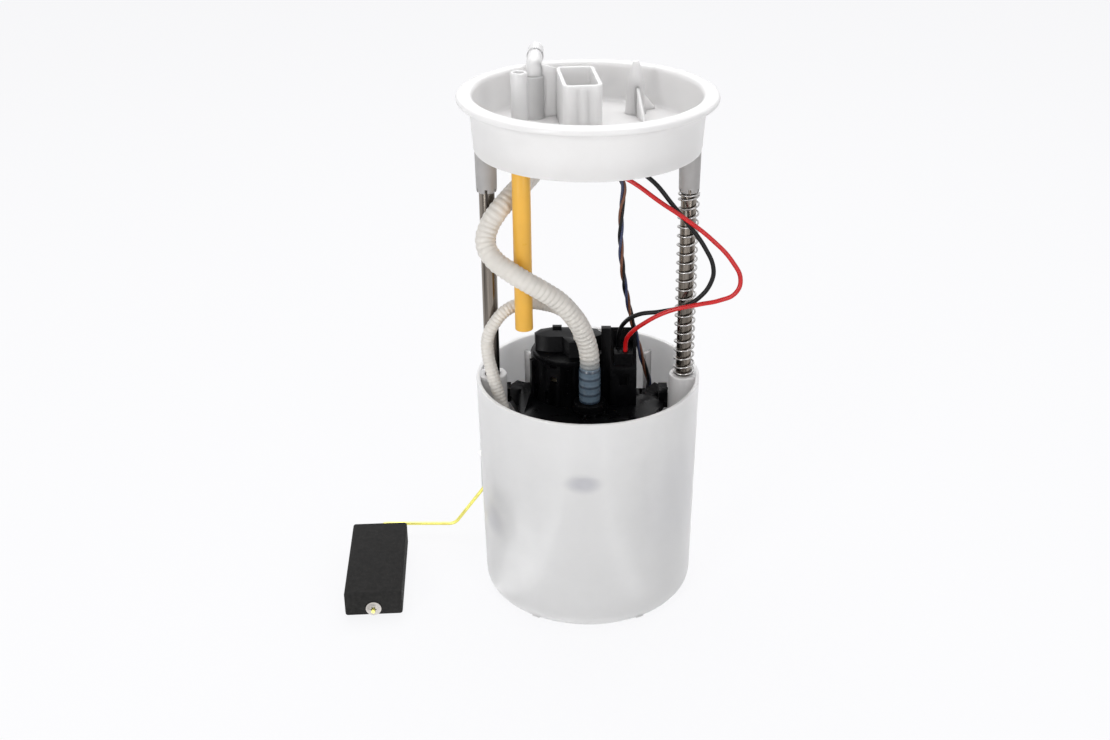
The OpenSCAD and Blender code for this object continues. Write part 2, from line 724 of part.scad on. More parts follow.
// Jet pump that fills the bucket
module jet_pump() {
    color([0.08, 0.08, 0.09]) difference() {
        union() {
            at(jet_foot, bucket_floor) cylinder(r = 5, h = 10);
            at(jet_foot, bucket_floor + 10) barbed(jet_barb_d / 2, 1.1, 10, 4);
            at(jet_foot, bucket_floor) rotate(-25) translate([0, -4, 0]) cube([26, 8, 8]);
        }
        at(jet_foot, bucket_floor + 4) cylinder(r = 1.1, h = 10);
        at(jet_foot, bucket_floor + 4) rotate(-25) rotate([0, 90, 0]) {
            cylinder(r = 0.8, h = 30);
            translate([0, 0, 8]) cylinder(r = 2.6, h = 30);
        }
        at(jet_foot, bucket_floor - 1) rotate(-25) translate([9, -2.2, 0]) cube([5, 4.4, 5]);
    }
}

// Level sender on the outside of the bucket
card_y = pivot[1] + 8;
wiper_r = 14;
post_r = 2.5;
housing_x0 = -63;
housing_x1 = -38.5;
housing_t = 3;
housing_top = 78;

module sender_housing() {
    color([0.80, 0.81, 0.82]) difference() {
        union() {
            translate([housing_x0, card_y + 1, 26])
                cube([housing_x1 - housing_x0, housing_t, housing_top - 26]);
            translate([housing_x0, card_y, 26]) cube([housing_x1 - housing_x0, 1.5, 2]);
            translate([pivot[0], card_y + 1, pivot[2]]) rotate([90, 0, 0])
                cylinder(r = post_r, h = card_y - pivot[1] - 0.2);
        }
        translate([-47, card_y, housing_top - 4]) cube([7, 6, 5]);
    }
}

module sender_card() {
    color([0.72, 0.72, 0.66]) translate([-62, card_y, pivot[2] + 8]) cube([23, 0.9, 15]);
}

module sender_terminals() {
    color([0.78, 0.70, 0.45]) for (i = [0:2])
        translate([-46.4 + 2.2 * i, card_y + 1.6, housing_top - 3.9]) cube([1.4, 0.8, 3.8]);
}

// Arm, hub and float
hub_arm_l = 9.5;
hub_arm_w = 6;

module arm_hub() {
    color([0.12, 0.12, 0.13]) translate([pivot[0], pivot[1] + 1.3, pivot[2]]) rotate([-90, 0, 0]) difference() {
        union() {
            cylinder(r = hub_d / 2, h = hub_t);
            rotate(wire_angle) translate([0, -hub_arm_w / 2, 0]) cube([hub_arm_l, hub_arm_w, 3.4]);
        }
        translate([0, 0, -1]) cylinder(r = post_r + run_gap, h = hub_t + 2);
    }
}

module wiper() {
    color([0.80, 0.72, 0.45]) translate([pivot[0], card_y - 0.5, pivot[2]]) rotate([0, -42, 0])
        translate([-1.5, 0, hub_d / 2 - 3]) cube([3, 0.3, wiper_r - hub_d / 2 + 3]);
}

wire_knee_x = -79;
wire_angle = atan2(pivot_z - pin_z, wire_knee_x - pivot[0]);
pin_top = [for (y = [float_y - float_l - 3, pivot[1]]) [pin_x + (pivot[1] - y) * tan(float_turn), y, pin_z]];
float_c = [pin_x + (pivot[1] - float_y) * tan(float_turn), float_y, pin_z];

module rod_between(a, b, r) {
    d = b - a;
    l = norm(d);
    translate(a) rotate([0, acos(d[2] / l), atan2(d[1], d[0])]) cylinder(r = r, h = l);
}

module arm_wire() {
    knee = [wire_knee_x, pivot[1], pin_z];
    corner = [pin_x, pivot[1], pin_z];
    hub_end = [pivot[0], pivot[1], pivot[2]];
    color([0.78, 0.66, 0.30]) {
        rod_between(pin_top[0], corner, wire_r);
        translate(corner) sphere(r = wire_r + 0.03);
        rod_between(corner, knee, wire_r);
        translate(knee) sphere(r = wire_r + 0.03);
        rod_between(knee, hub_end, wire_r);
        translate(hub_end) sphere(r = wire_r + 0.03);
    }
}

module push_nuts() {
    color([0.75, 0.73, 0.66]) for (s = [-float_l - 1.1, 0.3])
        translate(float_c) rotate(float_turn) translate([0, s, 0]) rotate([-90, 0, 0]) difference() {
            cylinder(r = 4.2, h = 0.8);
            translate([0, 0, -1]) cylinder(r = wire_r + run_gap, h = 3);
        }
}

module float() {
    color([0.16, 0.15, 0.18]) translate(float_c) rotate(float_turn) rotate([90, 0, 0]) difference() {
        linear_extrude(float_l) translate([0, float_h / 2 - float_pin]) rounded(float_w, float_h, 1.8);
        translate([0, 0, -1]) cylinder(r = wire_r + run_gap, h = float_l + 2);
    }
}

// Flange with its sleeves, socket and nipples
module flange_profile() {
    w = flange_wall;
    polygon([[skirt_r, 0], [skirt_r + 1.6, seat_h], [rim_r - 1, seat_h], [rim_r, seat_h + 1.2],
        [rim_r, flange_h - 3], [rim_r - 1.1, flange_h - 1.2], [rim_r - 4.2, flange_h - 0.2],
        [rim_r - 6.7, flange_h], [rim_r - 8, flange_h - 0.8], [rim_r - 8.8, flange_h - 2.5],
        [skirt_r + 1.2 - w, seat_h - 2], [skirt_r + 0.5 - w, flange_floor], [0, flange_floor],
        [0, flange_floor - w], [skirt_r + 0.4 - w, flange_floor - w], [skirt_r - w, 0]]);
}

module sleeve() {
    translate([0, 0, sleeve_z]) cylinder(r1 = sleeve_d / 2, r2 = sleeve_d / 2 + 0.5,
        h = floor_z - sleeve_z - 1);
}

module socket_shell() {
    at(socket_c, floor_z - 1) rotate(socket_turn)
        slab(socket_w, socket_l, flange_top + socket_rise - floor_z + 1, socket_r);
}

module socket_hollow() {
    deep = flange_top + socket_rise - floor_z;
    at(socket_c, floor_z + 1) rotate(socket_turn) difference() {
        slab(socket_w - 2 * socket_wall, socket_l - 2 * socket_wall, deep, socket_r - socket_wall);
        for (x = [-2.6, 2.6]) translate([x - key_w / 2, key_w - socket_l / 2, -1])
            cube([key_w, socket_wall, deep - 2]);
    }
}

outlet_z = flange_top + outlet_rise;
outlet_foot_h = flange_top - floor_z + 3;
outlet_tip = 0.8;
outlet_end = 12;
socket_reach = 22;
key_w = 1.2;
port_r = 4;
port_rise = 13;

module outlet_pipe() {
    at(outlet_c, floor_z - 1) cylinder(r = outlet_d / 2 + 0.8, h = outlet_foot_h);
    at(outlet_c, floor_z - 1) cylinder(r = outlet_d / 2, h = outlet_z - floor_z + 1);
    at(outlet_c, outlet_z) sphere(r = outlet_d / 2);
    at(outlet_c, outlet_z) rotate([-90, 0, 0]) {
        cylinder(r = outlet_d / 2, h = outlet_len - outlet_tip);
        translate([0, 0, outlet_len - outlet_tip])
            cylinder(r1 = outlet_d / 2, r2 = outlet_d / 2 - outlet_tip, h = outlet_tip);
        translate([0, 0, outlet_len - outlet_tip - outlet_end - 2])
            cylinder(r = outlet_d / 2 + 0.4, h = 2);
    }
    at(outlet_c, floor_z - 1) gusset(15, socket_reach - socket_w / 2, outlet_z - floor_z, 0.9);
}

module gusset(angle, length, h, foot = 0.1) {
    rotate(angle) rotate([90, 0, 0]) translate([0, 0, -0.8])
        linear_extrude(1.6) polygon([[0, 0], [length, 0], [length, h * foot], [0, h]]);
}

module vent_boss() {
    at(vent_c, floor_z - 1) cylinder(r1 = 5.2, r2 = 4.4, h = 17);
    at(vent_c, floor_z + 16) cylinder(r1 = 4.4, r2 = 1.4, h = 12);
    at(vent_c, floor_z - 1) gusset(-78, 20, 19);
    at(vent_c, floor_z - 1) gusset(40, 13, 16);
}

module return_port() {
    at(return_c, floor_z - 1) cylinder(r1 = 5.4, r2 = port_r, h = 4);
    at(return_c, floor_z - 1) cylinder(r = port_r, h = flange_top + port_rise - floor_z + 1);
}

module flange() {
    color([0.88, 0.89, 0.92]) difference() {
        union() {
            translate([0, 0, skirt_z]) rotate_extrude($fn = 128) flange_profile();
            for (s = [-1, 1]) translate([s * rod_x, 0, 0]) sleeve();
            socket_shell();
            outlet_pipe();
            vent_boss();
            return_port();
            at(outlet_c, floor_under - 18) barbed_down(feed_barb_d / 2, 2.2, 18.5, 4);
            at(return_c, floor_under - 12) tube(return_d / 2 - return_wall - run_gap, 2.6, 13);
            for (a = [60, 120, 240, 300]) rotate(a) translate([0, -0.9, floor_under - 5])
                translate([26, 0, 0]) cube([skirt_r - 28, 1.8, 6]);
        }
        for (s = [-1, 1]) translate([s * rod_x, 0, sleeve_z - 1])
            cylinder(r = rod_r + run_gap, h = floor_under - sleeve_z);
        for (s = [-1, 1], a = [0:60:300]) translate([s * rod_x, 0, sleeve_z - 1]) rotate(a + 30)
            translate([rod_r + 0.3, -0.7, 0]) cube([4, 1.4, 2.6]);
        socket_hollow();
        at(outlet_c, floor_under - 20) cylinder(r = 2.2, h = outlet_z - floor_under + 20);
        at(outlet_c, outlet_z) rotate([-90, 0, 0]) cylinder(r = 2.6, h = outlet_len + 2);
        at(return_c, floor_under - 13) cylinder(r = 2.6, h = flange_top + port_rise - floor_under + 14);
        for (p = pin_places) at(p, floor_under - 1) cylinder(r = 1.2, h = flange_wall + 4);
    }
}

module barbed_down(r, bore, h, barbs) {
    translate([0, 0, h]) mirror([0, 0, 1]) barbed(r, bore, h, barbs);
}

// Plug blades in the socket
pin_places = [for (i = [0:4]) [socket_c[0] - (i - 2) * 6 * sin(socket_turn),
    socket_c[1] + (i - 2) * 6 * cos(socket_turn)]];

module socket_pins() {
    color([0.80, 0.80, 0.78]) for (p = pin_places) {
        at(p, floor_under - 6) cylinder(r = 1.15, h = flange_wall + 9);
        at(p, floor_z + 2.5) rotate(socket_turn) translate([-1.4, -0.4, 0]) cube([2.8, 0.8, 11]);
    }
}

// Guide rods, rings and spring
module guide_rod() {
    top = floor_under - 1;
    groove = guide_z - seat_gap - ring_t;
    color([0.74, 0.75, 0.77]) rotate_extrude() polygon([[0, rod_low], [rod_r - 0.8, rod_low],
        [rod_r, rod_low + 0.8], [rod_r, groove - 0.1], [rod_r - 0.6, groove - 0.1],
        [rod_r - 0.6, groove + ring_t + 0.1], [rod_r, groove + ring_t + 0.1],
        [rod_r, top], [0, top]]);
}

module guide_rod_left() {
    translate([-rod_x, 0, 0]) guide_rod();
}

module guide_rod_right() {
    translate([rod_x, 0, 0]) guide_rod();
}

module rod_rings() {
    color([0.30, 0.30, 0.31]) for (s = [0, 180]) rotate(s) translate([rod_x, 0, guide_z - seat_gap - ring_t])
        difference() {
            tube(ring_d / 2, rod_r - 0.6 + run_gap, ring_t);
            translate([-6, -1.6, -1]) cube([6, 3.2, ring_t + 2]);
        }
}

module return_spring() {
    color([0.70, 0.70, 0.71]) translate([rod_x, 0, rim_z + 0.1])
        coil((spring_d - spring_wire) / 2, spring_wire, spring_turns, sleeve_z - rim_z - 0.2, 14, 6);
}

// Drop tube of the return line
module return_tube() {
    color([0.86, 0.65, 0.24]) at(return_c, rim_z + return_gap)
        tube(return_d / 2, return_d / 2 - return_wall, floor_under - rim_z - return_gap);
}

// Routes of the hoses and leads, drawn for these heights. Their upper parts follow the flange,
// their lower parts follow the carrier, and the stretch between them takes up the rest.
drawn_skirt = 252;
drawn_plate = 108;
drawn_cap = 143;
drawn_floor = 3;

function hung(route, low, high, low_shift, high_shift) = [for (p = route)
    let (share = min(1, max(0, (p[2] - low) / (high - low))))
    [p[0], p[1], p[2] + low_shift + (high_shift - low_shift) * share]];

// A route from the flange down to something at the given shift
function from_flange(route, low_shift) = hung(route, 142, 236, low_shift, skirt_z - drawn_skirt);

feed_route = [[1, -9, 114], [1, -9, 137], [0.3, -9.6, 144], [-1.6, -11, 152], [-4.4, -13.4, 160],
    [-8.5, -16, 167.5], [-14.5, -18.8, 175.5], [-22.5, -21.6, 182.5], [-31.6, -23, 188.8],
    [-40, -21.8, 194], [-47.5, -18.8, 199.2], [-51.3, -14.5, 205.5], [-50, -11, 212.5],
    [-45.2, -8, 220.2], [-41.3, -4, 223.8], [-37.2, 2, 226.8], [-32, 11, 229.5],
    [-28.2, 18, 232.5], [-27, 22, 237], [-27, 22, 257.4]];

module feed_hose() {
    color([0.86, 0.87, 0.88]) difference() {
        swept(from_flange(feed_route, plate_z - drawn_plate), feed_d / 2, 12, [0.55, 0.8, 0.25]);
        at(feed_c, feed_barb_z - 1) cylinder(r = feed_barb_d / 2 + run_gap, h = feed_barb_h + 1);
        at(outlet_c, floor_under - 18) cylinder(r = feed_barb_d / 2 + run_gap, h = 20);
    }
}

jet_route = [[-4.5, 6, 143.2], [-4.6, 6, 148.6], [-7.6, 5.8, 154.4], [-13.8, 4.7, 160.4],
    [-22.6, 1.8, 165], [-32.9, -2.5, 167.6], [-41.7, -5.2, 165.4], [-48.5, -7.8, 158.8],
    [-52.2, -9.2, 151], [-52.4, -10.4, 143], [-50.4, -12.2, 132.6], [-47.6, -14.4, 122.4],
    [-44.6, -16.6, 112], [-41.4, -18.6, 98], [-39, -19.8, 80], [-38, -20, 60], [-38, -20, 13.2]];

module jet_hose() {
    color([0.86, 0.87, 0.88]) difference() {
        swept(hung(jet_route, 40, 112, bucket_floor - drawn_floor, holder_top + cap_h - drawn_cap),
            jet_d / 2, 10, [0.5, 0.8, 0.3]);
        at(jet_c, holder_top + cap_h - 1) cylinder(r = jet_barb_d / 2 + run_gap, h = jet_nipple_h + 1);
        at(jet_foot, bucket_floor + 9) cylinder(r = jet_barb_d / 2 + run_gap, h = 11);
    }
}

red_route = [[-3.77, 4.04, 251.3], [-3.5, 3.9, 247.8], [2, 2.4, 245], [13, -2, 239], [23.5, -7.5, 234.6],
    [35.6, -11, 226.6], [48.5, -13.5, 218.4], [62.3, -15, 207.7], [73, -16, 196.1],
    [77.4, -16, 186.3], [75, -16, 179], [67.4, -15, 174.7], [57, -14.5, 172.2],
    [41.8, -12.5, 167.6], [29, -8, 158.5], [21.8, -2.2, 149.3], [20.1, 1.8, 143], [20, 3, 138.6],
    [20, 3, 133.7]];

black_route = [[-5.23, 15.96, 251.3], [-4.8, 15.6, 248], [4, 11, 246], [18, 2, 242],
    [31.3, -6, 236.4], [43.1, -9, 223.2], [51, -10.5, 213.6], [59.2, -11.5, 202],
    [63.8, -11.5, 191], [63, -11, 183.2], [57.4, -10.2, 174.3], [49.8, -9.2, 168.9],
    [38, -6.5, 164.7], [26.6, -2, 161], [19.5, 3.5, 153.9], [16.8, 8.2, 145.6], [16.5, 10, 139.6],
    [16.5, 10, 133.7]];

sender_route = [[-4.5, 10, 251.3], [-4.2, 9.9, 247.2], [2, 8, 243], [12, 5, 239],
    [17.6, 5, 230.5], [17.2, 5, 216.5], [17, 7, 199.1], [18.3, 10, 181.1], [21.3, 16, 161.1],
    [26.2, 19.8, 138.5], [31, 21, 119.8], [33.6, 23.4, 110], [33, 28, 100], [27.5, 40, 93],
    [15, 51.5, 88], [0, 54, 86], [-15, 51.8, 86], [-28.5, 45.9, 86], [-36.4, 40, 86],
    [-41.5, 45, 86], [-44, 46.7, 83.5], [-44.2, 46.8, 80.5], [-44.2, 46.8, 78.4]];

module lead_red() {
    color([0.78, 0.05, 0.05])
        swept(from_flange(red_route, plate_z - drawn_plate), lead_d / 2, 8, [0.3, 1, 0.2]);
}

module lead_black() {
    color([0.08, 0.08, 0.09])
        swept(from_flange(black_route, plate_z - drawn_plate), lead_d / 2, 8, [0.3, 1, 0.2]);
}

module sender_leads() {
    color([0.25, 0.20, 0.22])
        swept(from_flange(sender_route, 0), sender_lead_d / 2, 8, [1, 0.35, 0.25]);
}

bucket();
foot_valve();
strainer_frame();
strainer_mesh();
pump_carrier();
holder_cap();
outlet_fitting();
damper_rings();
pump_can();
pump_inlet_cover();
pump_chamber_plate();
field_magnets();
motor_bushes();
carbon_brushes();
brush_springs();
pump_outlet_cap();
regulator_body();
regulator_spring();
regulator_seat();
pump_connector();
lead_plug();
jet_pump();
jet_hose();
sender_housing();
sender_card();
sender_terminals();
flange();
guide_rod_left();
guide_rod_right();
rod_rings();
socket_pins();
return_tube();
return_spring();
feed_hose();
lead_red();
lead_black();
sender_leads();
arm_wire();
arm_hub();
wiper();
push_nuts();
float();
armature();
commutator();
rotor_shaft();
impeller();
check_valve();
valve_spring();
regulator_valve();
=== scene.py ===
import math

import bpy
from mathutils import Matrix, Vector


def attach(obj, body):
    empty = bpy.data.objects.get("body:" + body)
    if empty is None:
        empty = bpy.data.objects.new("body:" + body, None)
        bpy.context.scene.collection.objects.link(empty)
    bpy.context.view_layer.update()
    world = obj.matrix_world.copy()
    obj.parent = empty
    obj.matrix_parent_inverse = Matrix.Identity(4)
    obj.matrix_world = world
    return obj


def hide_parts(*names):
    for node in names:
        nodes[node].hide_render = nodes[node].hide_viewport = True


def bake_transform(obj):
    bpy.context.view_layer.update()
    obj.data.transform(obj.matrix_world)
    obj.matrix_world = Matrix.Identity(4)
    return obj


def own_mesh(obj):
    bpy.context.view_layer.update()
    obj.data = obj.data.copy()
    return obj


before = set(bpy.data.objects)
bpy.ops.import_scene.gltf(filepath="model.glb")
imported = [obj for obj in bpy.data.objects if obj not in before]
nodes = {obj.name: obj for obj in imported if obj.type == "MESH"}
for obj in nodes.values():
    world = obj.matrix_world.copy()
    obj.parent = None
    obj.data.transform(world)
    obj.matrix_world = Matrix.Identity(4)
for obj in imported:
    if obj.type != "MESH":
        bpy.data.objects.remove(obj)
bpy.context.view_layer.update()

MM = 0.001

BUCKET_HIGH, WALL_FOOT, WALL_LEAN = 126.0, 56.35, 2.1


# Small tools of the bench

def select_nothing():
    if bpy.context.object and bpy.context.object.mode != "OBJECT":
        bpy.ops.object.mode_set(mode="OBJECT")
    bpy.ops.object.select_all(action="DESELECT")


def take_up(piece):
    """Makes a piece the only one that is selected."""
    select_nothing()
    piece.select_set(True)
    bpy.context.view_layer.objects.active = piece


def settle(piece):
    """Puts the piece's place, turn and size into its mesh."""
    take_up(piece)
    bpy.ops.object.transform_apply(location=True, rotation=True, scale=True)


def apply_all(piece):
    take_up(piece)
    for tool in list(piece.modifiers):
        bpy.ops.object.modifier_apply(modifier=tool.name)


def face_outwards(piece, doubles=0.00001):
    take_up(piece)
    bpy.ops.object.mode_set(mode="EDIT")
    bpy.ops.mesh.select_all(action="SELECT")
    bpy.ops.mesh.remove_doubles(threshold=doubles)
    bpy.ops.mesh.normals_make_consistent(inside=False)
    bpy.ops.object.mode_set(mode="OBJECT")


def smooth(piece, degrees=40):
    take_up(piece)
    bpy.ops.object.shade_smooth_by_angle(angle=math.radians(degrees))


def name_piece(piece, name):
    piece.name = name
    piece.data.name = name
    return piece


def pick(piece, wanted):
    """Opens the piece in edit mode with only the wanted points selected."""
    take_up(piece)
    bpy.ops.object.mode_set(mode="EDIT")
    bpy.ops.mesh.select_mode(type="VERT")
    bpy.ops.mesh.select_all(action="DESELECT")
    bpy.ops.object.mode_set(mode="OBJECT")
    for point in piece.data.vertices:
        point.select = bool(wanted(point.co))
    bpy.ops.object.mode_set(mode="EDIT")
    bpy.ops.mesh.select_mode(type="VERT")


def soften(piece, width, segments=3, degrees=30):
    """Rounds the edges that are sharper than the angle."""
    edge = piece.modifiers.new("soft_edges", "BEVEL")
    edge.width = width * MM
    edge.segments = segments
    edge.limit_method = "ANGLE"
    edge.angle_limit = math.radians(degrees)
    edge.use_clamp_overlap = True
    apply_all(piece)
    smooth(piece, 35)


def cut(piece, cutter):
    """Cuts the cutter's shape out of the piece."""
    tool = piece.modifiers.new("cut", "BOOLEAN")
    tool.operation = "DIFFERENCE"
    tool.solver = "EXACT"
    tool.object = cutter
    apply_all(piece)
    bpy.data.objects.remove(cutter)


def drill_hole(piece, place, radius, depth, turn, sides=32):
    """Cuts a round hole, in metres, along the drill's own length."""
    select_nothing()
    bpy.ops.mesh.primitive_cylinder_add(vertices=sides, radius=radius, depth=depth,
                                        location=place, rotation=turn)
    drill = bpy.context.object
    settle(drill)
    cut(piece, drill)


def rounded_profile(corners, steps=5, ring=False):
    """Corners are (radius, height, rounding) in millimetres; each is replaced by a small curve."""
    count = len(corners)
    line = []
    for i, (r, z, rounding) in enumerate(corners):
        here = Vector((r, z))
        if not rounding or (not ring and i in (0, count - 1)):
            line.append((r, z))
            continue
        before = Vector(corners[i - 1][:2]) - here
        after = Vector(corners[(i + 1) % count][:2]) - here
        back = min(rounding, 0.48 * before.length, 0.48 * after.length)
        start, stop = here + before.normalized() * back, here + after.normalized() * back
        for k in range(steps + 1):
            t = k / steps
            line.append(tuple(start * (1 - t) ** 2 + here * 2 * t * (1 - t) + stop * t * t))
    if ring:
        line.append(line[0])
    return line


def in_steps(line, longest):
    """Adds points to a profile where it runs straight for longer than the longest step."""
    fine = [line[0]]
    for (r0, z0), (r1, z1) in zip(line, line[1:]):
        parts = max(1, math.ceil(math.hypot(r1 - r0, z1 - z0) / longest))
        fine += [(r0 + (r1 - r0) * k / parts, z0 + (z1 - z0) * k / parts) for k in range(1, parts + 1)]
    return fine


def turned(name, profile, sides=96, axis=(0, 0), ring=False):
    """Turns a profile of (radius, height) pairs round a standing axis, ring by ring."""
    select_nothing()
    x, y = axis[0] * MM, axis[1] * MM
    bpy.ops.mesh.primitive_circle_add(vertices=sides, radius=profile[0][0] * MM,
                                      fill_type="NOTHING" if ring else "NGON",
                                      location=(x, y, profile[0][1] * MM))
    piece = name_piece(bpy.context.object, name)
    settle(piece)
    bpy.ops.object.mode_set(mode="EDIT")
    bpy.ops.mesh.select_all(action="SELECT")
    for (r0, z0), (r1, z1) in zip(profile, profile[1:]):
        bpy.ops.mesh.extrude_region_move(TRANSFORM_OT_translate={"value": (0, 0, (z1 - z0) * MM)})
        bpy.ops.transform.resize(value=(r1 / r0, r1 / r0, 1), center_override=(x, y, z1 * MM))
    bpy.ops.object.mode_set(mode="OBJECT")
    face_outwards(piece, 0.000005)
    smooth(piece, 50)
    return piece


def block(name, low, high, edge=0.4, segments=3):
    """A moulded block between two corners, in millimetres, with soft edges."""
    select_nothing()
    size = [(b - a) * MM for a, b in zip(low, high)]
    middle = [(a + b) / 2 * MM for a, b in zip(low, high)]
    bpy.ops.mesh.primitive_cube_add(size=1.0, location=middle, scale=size)
    piece = name_piece(bpy.context.object, name)
    settle(piece)
    if edge:
        soften(piece, edge, segments)
    return piece


def web(name, foot, angle, length, low, high, far, thick=1.6, edge=0.35):
    """An upright web that runs out from its foot and drops from the height high to far."""
    piece = block(name, (0, -thick / 2, low), (length, thick / 2, high), 0)
    pick(piece, lambda p: p.z > (low + high) / 2 * MM and p.x > length / 2 * MM)
    bpy.ops.transform.translate(value=(0, 0, (far - high) * MM))
    bpy.ops.object.mode_set(mode="OBJECT")
    piece.rotation_euler = (0, 0, math.radians(angle))
    piece.location = (foot[0] * MM, foot[1] * MM, 0)
    settle(piece)
    soften(piece, edge)
    return piece


def joined(name, pieces):
    """Several shapes as one piece."""
    select_nothing()
    for piece in pieces:
        piece.select_set(True)
    bpy.context.view_layer.objects.active = pieces[0]
    bpy.ops.object.join()
    return name_piece(bpy.context.object, name)


def limit_radius(piece, most=None, least=None):
    """Pulls the points that stand out of the bucket's wall, or into it, to the middle of the wall."""
    for point in piece.data.vertices:
        far = math.hypot(point.co.x, point.co.y)
        wall = wall_middle(point.co.z)
        if most and far > wall or least and far < wall:
            point.co.x *= wall / far
            point.co.y *= wall / far


def wall_middle(z):
    """The radius of the middle of the bucket's wall, which leans out from its foot to its rim."""
    return (WALL_FOOT + WALL_LEAN * z / MM / BUCKET_HIGH) * MM


# Camera, floor and light

camera_data = bpy.data.cameras.new("camera")
camera_data.sensor_fit = "HORIZONTAL"
camera_data.sensor_width = 36.0
camera_data.lens = 46.62
camera_data.shift_x = -0.0296
camera_data.shift_y = 0.0009
camera_data.clip_start = 0.02
camera = bpy.data.objects.new("camera", camera_data)
camera.location = (0.0, -0.689, 0.469)
camera.rotation_euler = (math.radians(63.6), 0.0, 0.0)
bpy.context.collection.objects.link(camera)
bpy.context.scene.camera = camera
bpy.context.scene.view_settings.view_transform = "Standard"


def seen_directly(tree):
    """1 for what the camera sees, also in a mirror or through glass, and 0 for light on the object."""
    path = tree.nodes.new("ShaderNodeLightPath")
    glossy = tree.nodes.new("ShaderNodeMath")
    glossy.operation = "MAXIMUM"
    through = tree.nodes.new("ShaderNodeMath")
    through.operation = "MAXIMUM"
    tree.links.new(path.outputs["Is Camera Ray"], glossy.inputs[0])
    tree.links.new(path.outputs["Is Glossy Ray"], glossy.inputs[1])
    tree.links.new(glossy.outputs[0], through.inputs[0])
    tree.links.new(path.outputs["Is Transmission Ray"], through.inputs[1])
    return through.outputs[0]


def pale_floor():
    select_nothing()
    bpy.ops.mesh.primitive_plane_add(size=8.0, location=(0, 0, -0.0004))
    floor = name_piece(bpy.context.object, "floor")
    floor_paint = bpy.data.materials.new("floor_paint")
    floor_paint.use_nodes = True
    tree = floor_paint.node_tree
    tree.nodes.clear()
    out = tree.nodes.new("ShaderNodeOutputMaterial")
    mix = tree.nodes.new("ShaderNodeMixShader")
    matt = tree.nodes.new("ShaderNodeBsdfDiffuse")
    matt.inputs["Color"].default_value = (0.90, 0.90, 0.90, 1)
    glow = tree.nodes.new("ShaderNodeEmission")
    glow.inputs["Color"].default_value = (0.985, 0.985, 1.0, 1)
    glow.inputs["Strength"].default_value = 1.0
    share = tree.nodes.new("ShaderNodeMath")
    share.operation = "MULTIPLY"
    share.inputs[1].default_value = 0.90
    tree.links.new(seen_directly(tree), share.inputs[0])
    tree.links.new(share.outputs[0], mix.inputs["Fac"])
    tree.links.new(matt.outputs[0], mix.inputs[1])
    tree.links.new(glow.outputs[0], mix.inputs[2])
    tree.links.new(mix.outputs[0], out.inputs["Surface"])
    floor.data.materials.append(floor_paint)


def soft_room():
    world = bpy.data.worlds.new("room")
    bpy.context.scene.world = world
    world.use_nodes = True
    tree = world.node_tree
    tree.nodes.clear()
    out = tree.nodes.new("ShaderNodeOutputWorld")
    back = tree.nodes.new("ShaderNodeBackground")
    back.inputs["Color"].default_value = (0.98, 0.98, 1.0, 1)
    level = tree.nodes.new("ShaderNodeMapRange")
    level.inputs["To Min"].default_value = 0.40
    level.inputs["To Max"].default_value = 1.0
    tree.links.new(seen_directly(tree), level.inputs["Value"])
    tree.links.new(level.outputs["Result"], back.inputs["Strength"])
    tree.links.new(back.outputs[0], out.inputs["Surface"])


def lamp(name, place, aim, size, power):
    data = bpy.data.lights.new(name, "AREA")
    data.shape = "RECTANGLE"
    data.size, data.size_y = size
    data.energy = power
    light = bpy.data.objects.new(name, data)
    light.location = place
    light.rotation_euler = (Vector(aim) - Vector(place)).to_track_quat("-Z", "Y").to_euler()
    bpy.context.collection.objects.link(light)
    return light


def sheen_card(name, place, aim, size, power):
    """A card that only shows as a soft reflection."""
    card = lamp(name, place, aim, size, power)
    card.visible_camera = False
    card.visible_diffuse = False


pale_floor()
soft_room()
lamp("left_strip", (-0.62, -0.92, 0.42), (0, 0, 0.10), (0.26, 0.84), 4.2)
lamp("right_strip", (0.60, -1.05, 0.42), (0, 0, 0.10), (0.22, 0.84), 2.4)
lamp("top_softbox", (0.0, 0.30, 1.25), (0, 0, 0.1), (1.0, 1.0), 9.6)
sheen_card("left_card", (-0.27, -0.36, 0.138), (0, 0, 0.262), (0.13, 0.026), 0.09)
sheen_card("right_card", (0.232, -0.386, 0.138), (0, 0, 0.262), (0.13, 0.026), 0.08)
sheen_card("back_card", (0.0, 0.95, 0.68), (0, 0, 0.14), (0.8, 0.4), 0.9)
sheen_card("floor_card_left", (-0.074, -0.149, 0.002), (-0.074, -0.149, 1), (0.022, 0.2), 0.02)
sheen_card("floor_card_right", (0.05, -0.158, 0.002), (0.05, -0.158, 1), (0.022, 0.2), 0.02)
sheen_card("floor_card_low", (-0.088, -0.058, 0.002), (-0.088, -0.058, 1), (0.07, 0.07), 0.016)


# Finishes

